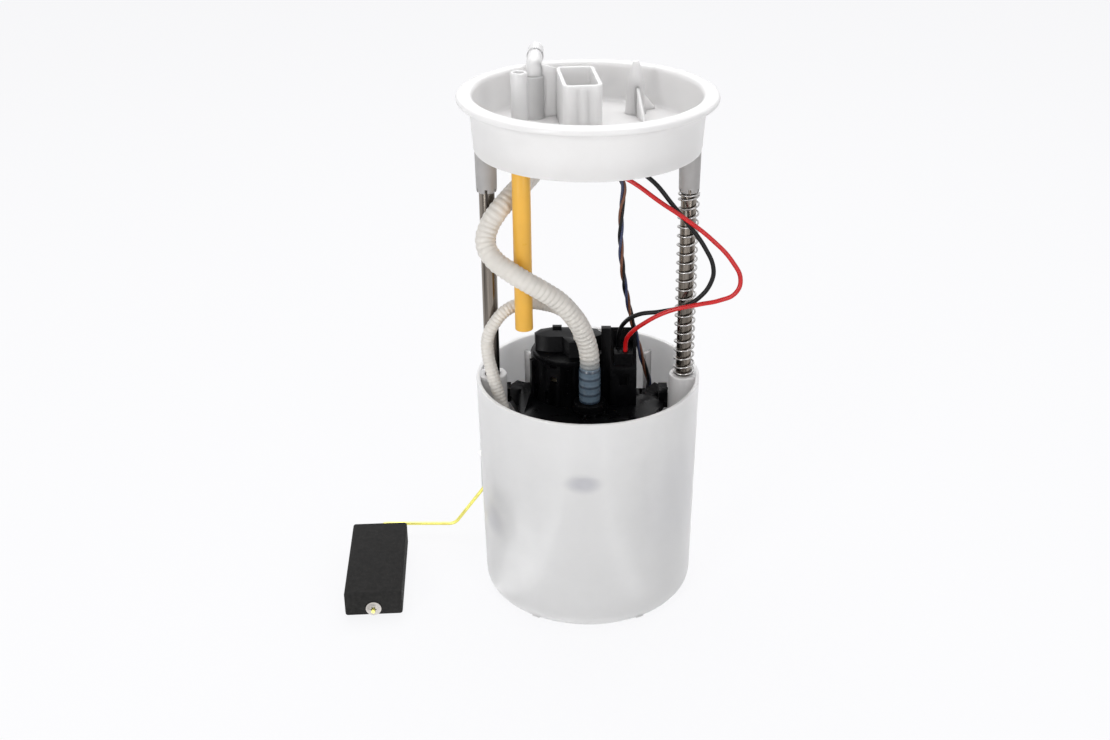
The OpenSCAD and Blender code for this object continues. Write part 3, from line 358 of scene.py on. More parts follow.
def finish(name, colour, rough, metal=0.0, tint=0.05, tint_scale=90.0, grain=0.0,
           grain_scale=1500.0, rough_spread=0.08, stretch=(1, 1, 1), **sockets):
    """A finish whose colour, gloss and grain vary a little over the piece."""
    paint = bpy.data.materials.new(name)
    paint.use_nodes = True
    tree = paint.node_tree
    shader = tree.nodes["Principled BSDF"]
    shader.inputs["Metallic"].default_value = metal
    for socket, value in sockets.items():
        shader.inputs[socket.replace("_", " ")].default_value = value
    place = tree.nodes.new("ShaderNodeTexCoord")
    turn = tree.nodes.new("ShaderNodeMapping")
    turn.inputs["Scale"].default_value = stretch
    tree.links.new(place.outputs["Object"], turn.inputs["Vector"])
    cloud = tree.nodes.new("ShaderNodeTexNoise")
    cloud.inputs["Scale"].default_value = tint_scale
    cloud.inputs["Detail"].default_value = 4.0
    tree.links.new(turn.outputs["Vector"], cloud.inputs["Vector"])
    ramp = tree.nodes.new("ShaderNodeValToRGB")
    ramp.color_ramp.elements[0].position = 0.3
    ramp.color_ramp.elements[1].position = 0.7
    ramp.color_ramp.elements[0].color = [max(0.0, c * (1 - tint)) for c in colour] + [1]
    ramp.color_ramp.elements[1].color = [min(1.0, c * (1 + tint)) for c in colour] + [1]
    tree.links.new(cloud.outputs["Fac"], ramp.inputs["Fac"])
    tree.links.new(ramp.outputs["Color"], shader.inputs["Base Color"])
    gloss = tree.nodes.new("ShaderNodeMapRange")
    gloss.inputs["From Min"].default_value = 0.3
    gloss.inputs["From Max"].default_value = 0.7
    gloss.inputs["To Min"].default_value = max(0.02, rough - rough_spread)
    gloss.inputs["To Max"].default_value = min(1.0, rough + rough_spread)
    tree.links.new(cloud.outputs["Fac"], gloss.inputs["Value"])
    tree.links.new(gloss.outputs["Result"], shader.inputs["Roughness"])
    if grain:
        fine = tree.nodes.new("ShaderNodeTexNoise")
        fine.inputs["Scale"].default_value = grain_scale
        fine.inputs["Detail"].default_value = 3.0
        tree.links.new(turn.outputs["Vector"], fine.inputs["Vector"])
        bump = tree.nodes.new("ShaderNodeBump")
        bump.inputs["Strength"].default_value = grain
        bump.inputs["Distance"].default_value = 0.0002
        tree.links.new(fine.outputs["Fac"], bump.inputs["Height"])
        tree.links.new(bump.outputs["Normal"], shader.inputs["Normal"])
    return paint


def darker_patch(material, middle, reach, colour):
    """Darkens the colour softly round a place."""
    tree = material.node_tree
    shader = tree.nodes["Principled BSDF"]
    place = tree.nodes.new("ShaderNodeTexCoord")
    centre = tree.nodes.new("ShaderNodeMapping")
    centre.inputs["Scale"].default_value = [1 / (r * MM) for r in reach]
    centre.inputs["Location"].default_value = [-m / r for m, r in zip(middle, reach)]
    ball = tree.nodes.new("ShaderNodeTexGradient")
    ball.gradient_type = "SPHERICAL"
    soft = tree.nodes.new("ShaderNodeMapRange")
    soft.interpolation_type = "SMOOTHSTEP"
    soft.inputs["From Max"].default_value = 0.75
    mix = tree.nodes.new("ShaderNodeMix")
    mix.data_type = "RGBA"
    mix.blend_type = "MULTIPLY"
    before = shader.inputs["Base Color"].links[0].from_socket
    tree.links.new(place.outputs["Object"], centre.inputs["Vector"])
    tree.links.new(centre.outputs["Vector"], ball.inputs["Vector"])
    tree.links.new(ball.outputs["Fac"], soft.inputs["Value"])
    tree.links.new(soft.outputs["Result"], mix.inputs["Factor"])
    tree.links.new(before, mix.inputs["A"])
    mix.inputs["B"].default_value = (*colour, 1)
    tree.links.new(mix.outputs["Result"], shader.inputs["Base Color"])


def banded(material, pitch, colour, sharpness=0.55):
    """Level bands, as where barbs show through a stretched hose."""
    tree = material.node_tree
    shader = tree.nodes["Principled BSDF"]
    place = tree.nodes.new("ShaderNodeTexCoord")
    wave = tree.nodes.new("ShaderNodeTexWave")
    wave.bands_direction = "Z"
    wave.inputs["Scale"].default_value = 2 * math.pi / (20 * pitch * MM)
    soft = tree.nodes.new("ShaderNodeMapRange")
    soft.inputs["From Min"].default_value = sharpness
    mix = tree.nodes.new("ShaderNodeMix")
    mix.data_type = "RGBA"
    mix.blend_type = "MULTIPLY"
    before = shader.inputs["Base Color"].links[0].from_socket
    tree.links.new(place.outputs["Object"], wave.inputs["Vector"])
    tree.links.new(wave.outputs["Fac"], soft.inputs["Value"])
    tree.links.new(soft.outputs["Result"], mix.inputs["Factor"])
    tree.links.new(before, mix.inputs["A"])
    mix.inputs["B"].default_value = (*colour, 1)
    tree.links.new(mix.outputs["Result"], shader.inputs["Base Color"])


EVEN = (1.0, 1.0, 1.0)
nylon = finish("natural_nylon", (0.775, 0.767, 0.762), 0.36, tint=0.025, tint_scale=35.0, grain=0.05,
               grain_scale=700.0, Subsurface_Weight=0.75, Subsurface_Scale=0.0065, Subsurface_Radius=EVEN,
               Coat_Weight=0.35, Coat_Roughness=0.12)
bucket_nylon = finish("bucket_nylon", (0.94, 0.932, 0.926), 0.36, tint=0.03, tint_scale=30.0, grain=0.05,
                      grain_scale=700.0, Subsurface_Weight=0.85, Subsurface_Scale=0.0086,
                      Subsurface_Radius=EVEN, Coat_Weight=0.35, Coat_Roughness=0.12)
# Painted shade on the bucket's wall: a soft dark spot over the dimple in front and a softer one at the front
# left, where dark parts inside keep light out of the thin wall, and a wide faint one over the right side.
darker_patch(bucket_nylon, (-2.3, -58.6, 91.4), (12.5, 9, 7.2), (0.70, 0.705, 0.76))
darker_patch(bucket_nylon, (-53, -27, 52), (17, 17, 13), (0.82, 0.825, 0.86))
darker_patch(bucket_nylon, (50, -32, 72), (46, 46, 52), (0.87, 0.875, 0.90))
# The sleeves are the flange's nylon painted darker grey: partly the steel rod that shows through the thin
# sleeve, partly painted shade under the flange.
shaded_sleeve_nylon = finish("shaded_sleeve_nylon", (0.41, 0.40, 0.395), 0.4, tint=0.05, tint_scale=120.0, grain=0.05,
                      Subsurface_Weight=0.2, Subsurface_Scale=0.002, Subsurface_Radius=EVEN)
hose_nylon = finish("milky_hose", (0.76, 0.73, 0.68), 0.46, tint=0.04, tint_scale=160.0, grain=0.04,
                    Subsurface_Weight=0.4, Subsurface_Scale=0.002, Subsurface_Radius=EVEN)
darker_patch(hose_nylon, (1, -9, 131), (13, 13, 13), (0.13, 0.18, 0.23))
cuff_nylon = finish("stretched_hose", (0.15, 0.21, 0.27), 0.3, tint=0.06, tint_scale=200.0, grain=0.03,
                    Subsurface_Weight=0.2, Subsurface_Scale=0.002, Subsurface_Radius=EVEN, Coat_Weight=0.2)
banded(cuff_nylon, 4.5, (0.17, 0.21, 0.26))
amber = finish("amber_nylon", (0.90, 0.49, 0.07), 0.34, tint=0.04, tint_scale=60.0, Specular_IOR_Level=0.3,
               Subsurface_Weight=0.2, Subsurface_Scale=0.002, Subsurface_Radius=EVEN, Coat_Weight=0.1)
black_moulding = finish("black_moulding", (0.0035, 0.0035, 0.004), 0.3, tint=0.25, tint_scale=120.0,
                        grain=0.12, grain_scale=2200.0, Specular_IOR_Level=0.07)
dark_rubber = finish("dark_rubber", (0.022, 0.022, 0.024), 0.7, tint=0.2, grain=0.2)
# The rod steel's colour is streaked strongly along the rod: painted reflections, dark and light streaks
# standing in for the room and lamps that a polished rod reflects.
rod_steel = finish("rod_steel_painted_reflections", (0.17, 0.15, 0.13), 0.2, metal=1.0, tint=0.85, tint_scale=620.0,
                   grain=0.04, grain_scale=900.0, rough_spread=0.06, stretch=(1, 1, 0.02))
spring_steel = finish("spring_wire", (0.42, 0.41, 0.40), 0.26, metal=1.0, tint=0.3, tint_scale=500.0)
zinc = finish("bright_zinc", (0.36, 0.34, 0.32), 0.36, metal=1.0, tint=0.12, tint_scale=400.0, grain=0.15)
yellow_zinc = finish("yellow_zinc_wire", (0.95, 0.84, 0.22), 0.36, metal=1.0, tint=0.15, tint_scale=200.0)
foam = finish("float_foam", (0.020, 0.0195, 0.019), 0.9, tint=0.4, tint_scale=420.0, grain=0.6,
              grain_scale=1700.0, rough_spread=0.08, Specular_IOR_Level=0.2)
red_insulation = finish("red_insulation", (0.60, 0.006, 0.008), 0.36, tint=0.08, tint_scale=200.0)
black_insulation = finish("black_insulation", (0.006, 0.006, 0.0065), 0.4, tint=0.2, tint_scale=200.0,
                          Specular_IOR_Level=0.25)
brown_insulation = finish("brown_insulation", (0.16, 0.055, 0.025), 0.42, tint=0.15, tint_scale=200.0)
blue_insulation = finish("blue_insulation", (0.03, 0.04, 0.10), 0.42, tint=0.15, tint_scale=200.0)
can_steel = finish("zinc_plated_can", (0.58, 0.59, 0.61), 0.3, metal=1.0, tint=0.08, grain=0.06)
cast_alloy = finish("die_cast_alloy", (0.55, 0.56, 0.58), 0.45, metal=1.0, tint=0.08, grain=0.2)
cream_resin = finish("cream_resin", (0.66, 0.58, 0.40), 0.45, tint=0.06, grain=0.08)
ferrite = finish("sintered_ferrite", (0.07, 0.07, 0.075), 0.6, tint=0.25, grain=0.3)
bronze = finish("sintered_bronze", (0.55, 0.34, 0.13), 0.45, metal=1.0, tint=0.15, grain=0.3)
carbon = finish("pressed_carbon", (0.025, 0.025, 0.027), 0.55, tint=0.2, grain=0.2)
copper = finish("turned_copper", (0.72, 0.33, 0.17), 0.3, metal=1.0, tint=0.1, grain=0.05)
phenolic = finish("moulded_phenolic", (0.05, 0.035, 0.025), 0.5, tint=0.2, grain=0.15)
tin = finish("tin_plate", (0.72, 0.71, 0.68), 0.28, metal=1.0, tint=0.08)
card = finish("ceramic_card", (0.60, 0.58, 0.50), 0.6, tint=0.08, grain=0.1)
acetal = finish("sender_acetal", (0.66, 0.67, 0.70), 0.4, tint=0.05, grain=0.06, Subsurface_Weight=0.2,
                Subsurface_Scale=0.002, Subsurface_Radius=EVEN)
mesh_cloth = finish("strainer_cloth", (0.58, 0.60, 0.55), 0.75, tint=0.2, tint_scale=900.0, grain=0.8,
                    grain_scale=3000.0)

node_finish = {
    "bucket": nylon, "flange": nylon, "feed_hose": hose_nylon, "jet_hose": hose_nylon,
    "return_tube": amber, "guide_rod_left": rod_steel, "guide_rod_right": rod_steel,
    "rotor_shaft": rod_steel, "return_spring": spring_steel, "brush_springs": spring_steel,
    "valve_spring": spring_steel, "regulator_spring": spring_steel, "rod_rings": spring_steel,
    "push_nuts": zinc, "arm_wire": yellow_zinc, "float": foam, "lead_red": red_insulation,
    "lead_black": black_insulation, "sender_leads": brown_insulation, "pump_can": can_steel,
    "regulator_body": can_steel, "pump_inlet_cover": cast_alloy, "pump_chamber_plate": cast_alloy,
    "regulator_seat": cast_alloy, "check_valve": cast_alloy, "pump_outlet_cap": cream_resin,
    "field_magnets": ferrite, "armature": ferrite, "motor_bushes": bronze, "regulator_valve": bronze,
    "carbon_brushes": carbon, "commutator": copper, "impeller": phenolic, "socket_pins": tin,
    "sender_terminals": tin, "wiper": tin, "sender_card": card, "sender_housing": acetal,
    "strainer_mesh": mesh_cloth, "foot_valve": dark_rubber, "damper_rings": dark_rubber,
}


def paint(piece, material):
    piece.data.materials.clear()
    piece.data.materials.append(material)


for node_name, node in nodes.items():
    paint(node, node_finish.get(node_name, black_moulding))


# Flange: a cup with a flared rim, and what is moulded on it

ROD_X = 51.0
# Everything on the cup stands on this height, inside the thickness of its floor
FLOOR_MIDDLE = 258.5
PLUG_TURN = 7
OUTLET, RETURN, VENT, SOCKET = (-27.0, 22.0), (-33.0, -12.0), (24.3, 30.0), (-4.5, 10.0)


def rides_on(body, slot_name, node, material, *pieces):
    """Gives pieces that stand for a node their finish and their body, and hides the node; the slot name is
    not used.
    """
    for piece in pieces:
        paint(piece, material)
        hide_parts(node)
        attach(piece, body)


def flange_cup():
    return turned("flange_cup", in_steps(rounded_profile([
        (0.5, 257.5, 0), (54.6, 257.5, 1.2), (54.2, 252, 0.6), (56.7, 252, 0.7), (58.25, 272.7, 2.2),
        (61.0, 275.2, 1.5), (64.3, 276.3, 0.6), (64.7, 277.4, 0.6), (64.2, 279.0, 0.9), (61, 279.8, 1.2),
        (57.6, 279.7, 1.0), (56.4, 278.2, 1.4), (55.5, 270.5, 3), (54.7, 260, 2.2), (0.5, 260, 0)]), 9), 160)


def rod_sleeve(name):
    sleeve = turned(name, rounded_profile([
        (4.08, 228.7, 0.4), (4.8, 228.0, 0.3), (5.25, 229.4, 0.9), (5.7, FLOOR_MIDDLE, 0),
        (4.08, FLOOR_MIDDLE, 0)],
        4, ring=True), 60)
    for turn in (30, 90, 150):
        bar = block("notch", (-9, -0.7, 227), (9, 0.7, 230.4), 0)
        bar.rotation_euler = (0, 0, math.radians(turn))
        settle(bar)
        cut(sleeve, bar)
    smooth(sleeve, 40)
    return sleeve


def copy_of(piece, name, shift=(0, 0, 0), turn=0.0):
    """A copy with its own mesh, turned round the upright axis and then moved, in millimetres."""
    twin = bpy.data.objects.new(name, piece.data.copy())
    bpy.context.collection.objects.link(twin)
    twin.data.name = name
    twin.rotation_euler = (0, 0, math.radians(turn))
    twin.location = [v * MM for v in shift]
    settle(twin)
    return twin


def plug_socket():
    """The socket is a block with round corners, hollowed from its top, with two keys on its front wall."""
    width, length, wall = 19.5, 38.0, 2.0
    socket = block("plug_socket", (-width / 2, -length / 2, FLOOR_MIDDLE), (width / 2, length / 2, 284.5), 0)
    take_up(socket)
    bpy.ops.object.mode_set(mode="EDIT")
    bpy.ops.mesh.select_mode(type="EDGE")
    bpy.ops.mesh.select_all(action="DESELECT")
    bpy.ops.object.mode_set(mode="OBJECT")
    points = socket.data.vertices
    for edge in socket.data.edges:
        low, high = (points[v].co for v in edge.vertices)
        edge.select = abs(low.z - high.z) > 0.01
    bpy.ops.object.mode_set(mode="EDIT")
    bpy.ops.mesh.bevel(offset=0.004, segments=7, affect="EDGES")
    bpy.ops.object.mode_set(mode="OBJECT")
    pick(socket, lambda p: p.z > 0.284)
    bpy.ops.mesh.inset(thickness=wall * MM)
    bpy.ops.mesh.extrude_region_move(TRANSFORM_OT_translate={"value": (0, 0, -0.0235)})
    bpy.ops.object.mode_set(mode="OBJECT")
    face_outwards(socket)
    soften(socket, 0.4, 3)
    keys = [block("key", (x - 0.6, -length / 2 + 1.2, 261), (x + 0.6, -length / 2 + wall + 1.0, 282.5), 0.3)
            for x in (-2.6, 2.6)]
    socket = joined("plug_socket", [socket] + keys)
    socket.rotation_euler = (0, 0, math.radians(PLUG_TURN))
    socket.location = (SOCKET[0] * MM, SOCKET[1] * MM, 0)
    settle(socket)
    return socket


def bent_line(corners, bend, steps=8):
    """The corners, in millimetres, as a line whose inner corners are rounded."""
    line = [Vector(corners[0])]
    for before, here, after in zip(corners, corners[1:], corners[2:]):
        here = Vector(here)
        back = (Vector(before) - here).normalized() * bend
        on = (Vector(after) - here).normalized() * bend
        line += [(here + back) * (1 - t) ** 2 + here * 2 * t * (1 - t) + (here + on) * t * t
                 for t in (k / steps for k in range(steps + 1))]
    return line + [Vector(corners[-1])]


def bent_tube(name, corners, radius, bend, roundness=6):
    """A round bar or pipe that is bent at its corners."""
    data = bpy.data.curves.new(name, "CURVE")
    data.dimensions = "3D"
    spline = data.splines.new("POLY")
    places = bent_line(corners, bend)
    spline.points.add(len(places) - 1)
    for point, place in zip(spline.points, places):
        point.co = (place.x * MM, place.y * MM, place.z * MM, 1)
    data.bevel_depth = radius * MM
    data.bevel_resolution = roundness
    data.use_fill_caps = True
    line = bpy.data.objects.new(name, data)
    bpy.context.collection.objects.link(line)
    take_up(line)
    bpy.ops.object.convert(target="MESH")
    tube = name_piece(bpy.context.object, name)
    face_outwards(tube)
    smooth(tube, 50)
    return tube


def outlet_pipe():
    x, y = OUTLET
    pipe = bent_tube("outlet_pipe", [(x, y, FLOOR_MIDDLE), (x, y, 286.5), (x, 55, 286.5)], 3.95, 5.2, 10)
    pick(pipe, lambda p: p.y > 0.0549)
    bpy.ops.mesh.extrude_region_move(TRANSFORM_OT_translate={"value": (0, 0, 0)})
    bpy.ops.transform.resize(value=(0.66, 1, 0.66), center_override=(x * MM, 0.055, 0.2865))
    bpy.ops.mesh.extrude_region_move(TRANSFORM_OT_translate={"value": (0, -0.024, 0)})
    bpy.ops.object.mode_set(mode="OBJECT")
    face_outwards(pipe)
    soften(pipe, 0.5, 3, 50)
    foot = turned("outlet_foot", rounded_profile([
        (0.5, FLOOR_MIDDLE, 0), (5.6, FLOOR_MIDDLE, 0), (4.85, 261.5, 2), (4.75, 281.2, 0.9),
        (3.6, 281.6, 0)]), 64, OUTLET)
    collar = turned("outlet_collar", rounded_profile([
        (3.4, 40.2, 0.1), (4.35, 40.2, 0.3), (4.35, 42.2, 0.3), (3.4, 42.2, 0.1)], 3, ring=True),
        64, ring=True)
    collar.rotation_euler = (-math.pi / 2, 0, 0)
    collar.location = (x * MM, 0, 0.2865)
    settle(collar)
    side_web = web("outlet_web", OUTLET, 15, 12.2, FLOOR_MIDDLE, 288.2, 284.5)
    return joined("outlet_pipe", [pipe, foot, collar, side_web])


def return_post():
    post = turned("return_post", rounded_profile([
        (0.5, FLOOR_MIDDLE, 0), (5.9, FLOOR_MIDDLE, 0), (4.6, 261, 1.2), (4.0, 263.5, 1.5),
        (4.0, 292, 0.6), (2.6, 292, 0.5), (2.6, 263, 0.4), (0.3, 263, 0)]), 64, RETURN)
    spigot = turned("return_spigot", rounded_profile([
        (2.6, 245.6, 0.3), (3.55, 245.6, 0.3), (3.55, FLOOR_MIDDLE, 0), (2.6, FLOOR_MIDDLE, 0)],
        3, ring=True), 48, RETURN)
    return joined("return_post", [post, spigot])


def vent_post():
    post = turned("vent_post", in_steps(rounded_profile([
        (0.5, FLOOR_MIDDLE, 0), (6.4, FLOOR_MIDDLE, 0), (5.2, 260.6, 1.2), (4.4, 275.5, 3),
        (1.5, 286.9, 1.0), (0.2, 287, 0)]), 4), 64, VENT)
    webs = [web("vent_web", VENT, -78, 20, FLOOR_MIDDLE, 278, 261),
            web("vent_web", VENT, 40, 13, FLOOR_MIDDLE, 275, 260.6)]
    return joined("vent_post", [post] + webs)


def floor_ribs():
    pattern = block("floor_rib_pattern", (26, -0.9, 252.5), (54.8, 0.9, 258), 0.3)
    ribs = [copy_of(pattern, "floor_rib_%d" % turn, turn=turn) for turn in (60, 120, 240, 300)]
    bpy.data.objects.remove(pattern)
    spigot = turned("outlet_spigot", [(0.5, 239.6), (3.5, 239.6), (3.7, 241), (3.7, 258), (0.5, 258)],
                    40, OUTLET)
    return joined("floor_ribs", ribs + [spigot])


def add_flange():
    sleeve = rod_sleeve("sleeve_pattern")
    sleeves = [copy_of(sleeve, "rod_sleeve_" + side, (x, 0, 0))
               for side, x in (("left", -ROD_X), ("right", ROD_X))]
    bpy.data.objects.remove(sleeve)
    rides_on("flange", "natural_nylon", "flange", nylon, flange_cup(), plug_socket(), outlet_pipe(),
             return_post(), vent_post(), floor_ribs())
    rides_on("flange", "natural_nylon", "flange", shaded_sleeve_nylon, *sleeves)


add_flange()


# Bucket

INLET = (0.016, -0.012)
LEAD_HOLE_SIDE, LEAD_HOLE_OUT = 132.5, 0.0575


def dent(piece, x, z, wide, high, depth):
    """Presses a soft dimple into the front wall, in millimetres."""
    for point in piece.data.vertices:
        if point.co.y > 0 or math.hypot(point.co.x, point.co.y) < wall_middle(point.co.z):
            continue
        share = 1 - abs((point.co.x / MM - x) / wide) ** 3 - abs((point.co.z / MM - z) / high) ** 3
        if share > 0:
            point.co.y += depth * MM * min(1.0, 2.0 * share)


def bucket_shell():
    outline = rounded_profile([(0.5, 0, 0), (57.4, 0, 8), (59.5, 126, 0.6), (57.3, 126, 0.6), (55.6, 3, 6),
                               (0.5, 3, 0)], 8)
    coarse = in_steps(outline, 7)
    fine = []
    for (r0, z0), (r1, z1) in zip(coarse, coarse[1:]):
        fine += in_steps([(r0, z0), (r1, z1)], 1.1 if r0 > 57.9 and 76 < z0 < 104 and z1 > z0 else 99)[:-1]
    shell = turned("bucket_shell", fine + coarse[-1:], 192)
    dent(shell, -2.3, 91.4, 9.5, 4.4, 0.45)
    for turn in (40, 100, 160):
        channel = block("channel", (-80, -2.5, -1), (80, 2.5, 0.5), 0)
        channel.rotation_euler = (0, 0, math.radians(turn))
        channel.location = (*INLET, 0)
        settle(channel)
        cut(shell, channel)
    drill_hole(shell, (*INLET, 0.0015), 0.004, 0.010, (0, 0, 0))
    side = math.radians(LEAD_HOLE_SIDE)
    drill_hole(shell, (LEAD_HOLE_OUT * math.cos(side), LEAD_HOLE_OUT * math.sin(side), 0.086), 0.0024, 0.012,
               (0, math.pi / 2, side))
    smooth(shell, 45)
    return shell


def rod_boss(name, x):
    boss = turned(name, rounded_profile([
        (0.3, 31.4, 0), (7.6, 31.4, 1), (7.6, 125.9, 0.7), (4.12, 125.9, 0.6), (4.12, 92, 0), (5.3, 92, 0),
        (5.3, 34.4, 0), (0.3, 34.4, 0)]), 72, (x, 0))
    limit_radius(boss, most=True)
    return boss


def inner_ribs():
    """The four ledges that carry the plate and the four short ribs at the back."""
    ribs = []
    for turn in (150, 26, -60, -120):
        ledge = block("ledge", (43.5, -2.5, 2), (60, 2.5, 104), 0.5)
        ribs.append(copy_of(ledge, "ledge_%d" % turn, turn=turn))
        bpy.data.objects.remove(ledge)
    for turn in (128, 118, 64, 52):
        rib = block("rib", (51.9, -1, 94), (60, 1, 118), 0.4)
        ribs.append(copy_of(rib, "rib_%d" % turn, turn=turn))
        bpy.data.objects.remove(rib)
    for rib in ribs:
        limit_radius(rib, most=True)
    return joined("bucket_ribs", ribs)


def sender_bracket():
    plates = [block("bracket_plate", (-57, 48.6, 34), (-27, 51.2, 72), 0.5),
              block("bracket_foot", (-36.8, 44.5, 34), (-30.8, 48.7, 72), 0.5)]
    for plate in plates:
        limit_radius(plate, least=True)
    return joined("sender_bracket", plates)


def add_bucket():
    rides_on("bucket", "natural_nylon", "bucket", bucket_nylon, bucket_shell())
    rides_on("bucket", "natural_nylon", "bucket", nylon, rod_boss("rod_boss_left", -ROD_X),
             rod_boss("rod_boss_right", ROD_X), inner_ribs(), sender_bracket())


add_bucket()


# Guide rods, return spring and return tube

def guide_rod(name, x):
    return turned(name, rounded_profile([
        (0.3, 84.4, 0), (4.0, 84.4, 0.8), (4.0, 90.2, 0), (3.4, 90.3, 0), (3.4, 91.9, 0), (4.0, 92.0, 0),
        (4.0, 256.4, 0.6), (0.3, 256.4, 0)]), 64, (x, 0))


def coil_spring(name, centre, radius, wire, turns, low, high):
    """A coiled wire whose first and last turns lie flat, in millimetres."""
    steps = 28
    lying = 2 * wire
    climb = (high - low - 2 * wire - 2 * lying) / (turns - 2)
    data = bpy.data.curves.new(name, "CURVE")
    data.dimensions = "3D"
    spline = data.splines.new("POLY")
    spline.points.add(turns * steps)
    for i, point in enumerate(spline.points):
        turn = i / steps
        z = low + wire + lying * min(turn, 1) + climb * min(max(turn - 1, 0), turns - 2) \
            + lying * max(turn - turns + 1, 0)
        angle = 2 * math.pi * turn
        point.co = ((centre[0] + radius * math.cos(angle)) * MM, (centre[1] + radius * math.sin(angle)) * MM,
                    z * MM, 1)
    data.bevel_depth = wire * MM
    data.bevel_resolution = 2
    data.use_fill_caps = True
    line = bpy.data.objects.new(name, data)
    bpy.context.collection.objects.link(line)
    take_up(line)
    bpy.ops.object.convert(target="MESH")
    spring = name_piece(bpy.context.object, name)
    face_outwards(spring, 0.000001)
    smooth(spring, 60)
    paint(spring, spring_steel)
    return spring


def add_springs():
    """The return spring and the small springs of the two valves."""
    for node, joint, centre, radius, wire, turns, low, high, fixed, travel in (
            ("return_spring", "flange_slide", (ROD_X, 0), 5.1, 0.5, 22, 126.1, 227.9, 126, 45),
            ("valve_spring", "check_valve_lift", (-10.5, 5.5), 2.0, 0.2, 5, 125.6, 133.4, 133.4, 1.5),
            ("regulator_spring", "regulator_lift", (24, -20), 4.4, 0.5, 4, 79.1, 90.1, 79.1, 1.5)):
        spring = coil_spring(node + "_coil", centre, radius, wire, turns, low, high)
        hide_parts(node)
        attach(spring, "bucket")
        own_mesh(spring)


def add_rods_and_tube():
    for side, x in (("left", -ROD_X), ("right", ROD_X)):
        rides_on("flange", "rod_steel", "guide_rod_" + side, rod_steel, guide_rod("rod_bar_" + side, x))
    tube = turned("return_tube_pipe", rounded_profile([
        (3.65, 157.5, 0.25), (4.65, 157.5, 0.35), (4.65, 257.5, 0.2), (3.65, 257.5, 0.2)],
        3, ring=True), 56, RETURN)
    rides_on("flange", "amber_tube", "return_tube", amber, tube)


add_rods_and_tube()
add_springs()


# Float, its nuts and its arm

FLOAT_AT, FLOAT_TURN = (-120.986, 22.0, 7.7), 4.0
NUT_BORE, NUT_SLOT = 0.0013, 1.75


def foam_float():
    foam_block = block("foam_float", (-15.5, -70.8, -4.65), (15.5, 0, 9.95), 1.5, 4)
    drill_hole(foam_block, (0, -0.035, 0), 0.00112, 0.09, (math.pi / 2, 0, 0), 24)
    smooth(foam_block, 40)
    placed = copy_of(foam_block, "foam_float_block", FLOAT_AT, FLOAT_TURN)
    bpy.data.objects.remove(foam_block)
    return placed


def push_nut(name, along, turn):
    """A dished nut whose inner edge is cut into tabs that grip the wire."""
    nut = turned(name, [(4.2, 0), (4.2, 0.3), (3.3, 0.35), (2.5, 0.75), (1.2, 0.95), (1.2, 0.65), (2.4, 0.45),
                        (3.2, 0.05), (4.2, 0)], 24, ring=True)
    for point in nut.data.vertices:
        around = round(math.degrees(math.atan2(point.co.y, point.co.x)) / 15) % 4
        if math.hypot(point.co.x, point.co.y) < NUT_BORE and around == 0:
            point.co.x *= NUT_SLOT
            point.co.y *= NUT_SLOT
    nut.rotation_euler = (math.pi / 2, 0, 0)
    settle(nut)
    nut.rotation_euler = (0, 0, math.radians(turn))
    nut.location = (0, along * MM, 0)
    settle(nut)
    placed = copy_of(nut, name + "_placed", FLOAT_AT, FLOAT_TURN)
    bpy.data.objects.remove(nut)
    smooth(placed, 30)
    return placed


def add_float_and_arm():
    rides_on("float", "float_foam", "float", foam, foam_float())
    rides_on("float_arm", "zinc_steel", "push_nuts", zinc, push_nut("push_nut_front", -71.15, 0),
             push_nut("push_nut_back", 0.15, 180))
    lean = math.tan(math.radians(FLOAT_TURN))
    wire = bent_tube("float_arm_wire", [(-122 + 88.5 * lean, -52, 7.7), (-122, 36.5, 7.7), (-79, 36.5, 7.7),
                                        (-54, 36.5, 42.4)], 0.99, 3.5, 5)
    rides_on("float_arm", "yellow_zinc", "arm_wire", yellow_zinc, wire)


add_float_and_arm()


# Black mouldings: the solids' own shapes with their edges rounded

def soft_copy(node_name, body, slot_name, material, width=0.25, segments=2):
    moulding = bpy.data.objects.new(node_name + "_moulding", nodes[node_name].data.copy())
    bpy.context.collection.objects.link(moulding)
    moulding.data.name = moulding.name
    take_up(moulding)
    bpy.ops.object.mode_set(mode="EDIT")
    bpy.ops.mesh.select_all(action="SELECT")
    bpy.ops.mesh.remove_doubles(threshold=0.000005)
    bpy.ops.mesh.dissolve_limited(angle_limit=math.radians(2))
    bpy.ops.object.mode_set(mode="OBJECT")
    soften(moulding, width, segments, 32)
    rides_on(body, slot_name, node_name, material, moulding)


for moulded in ("pump_carrier", "holder_cap", "pump_connector", "lead_plug", "outlet_fitting", "jet_pump",
                "strainer_frame"):
    soft_copy(moulded, "bucket", "black_plastic", black_moulding)
soft_copy("sender_housing", "bucket", "sender_resin", acetal)
soft_copy("arm_hub", "float_arm", "black_plastic", black_moulding)


# Hoses and leads

def smooth_line(name, route):
    """A line that runs smoothly through the route's points."""
    data = bpy.data.curves.new(name, "CURVE")
    data.dimensions = "3D"
    data.resolution_u = 24
    spline = data.splines.new("BEZIER")
    spline.bezier_points.add(len(route) - 1)
    for point, place in zip(spline.bezier_points, route):
        point.co = place
        point.handle_left_type = point.handle_right_type = "AUTO"
    line = bpy.data.objects.new(name, data)
    bpy.context.collection.objects.link(line)
    return line


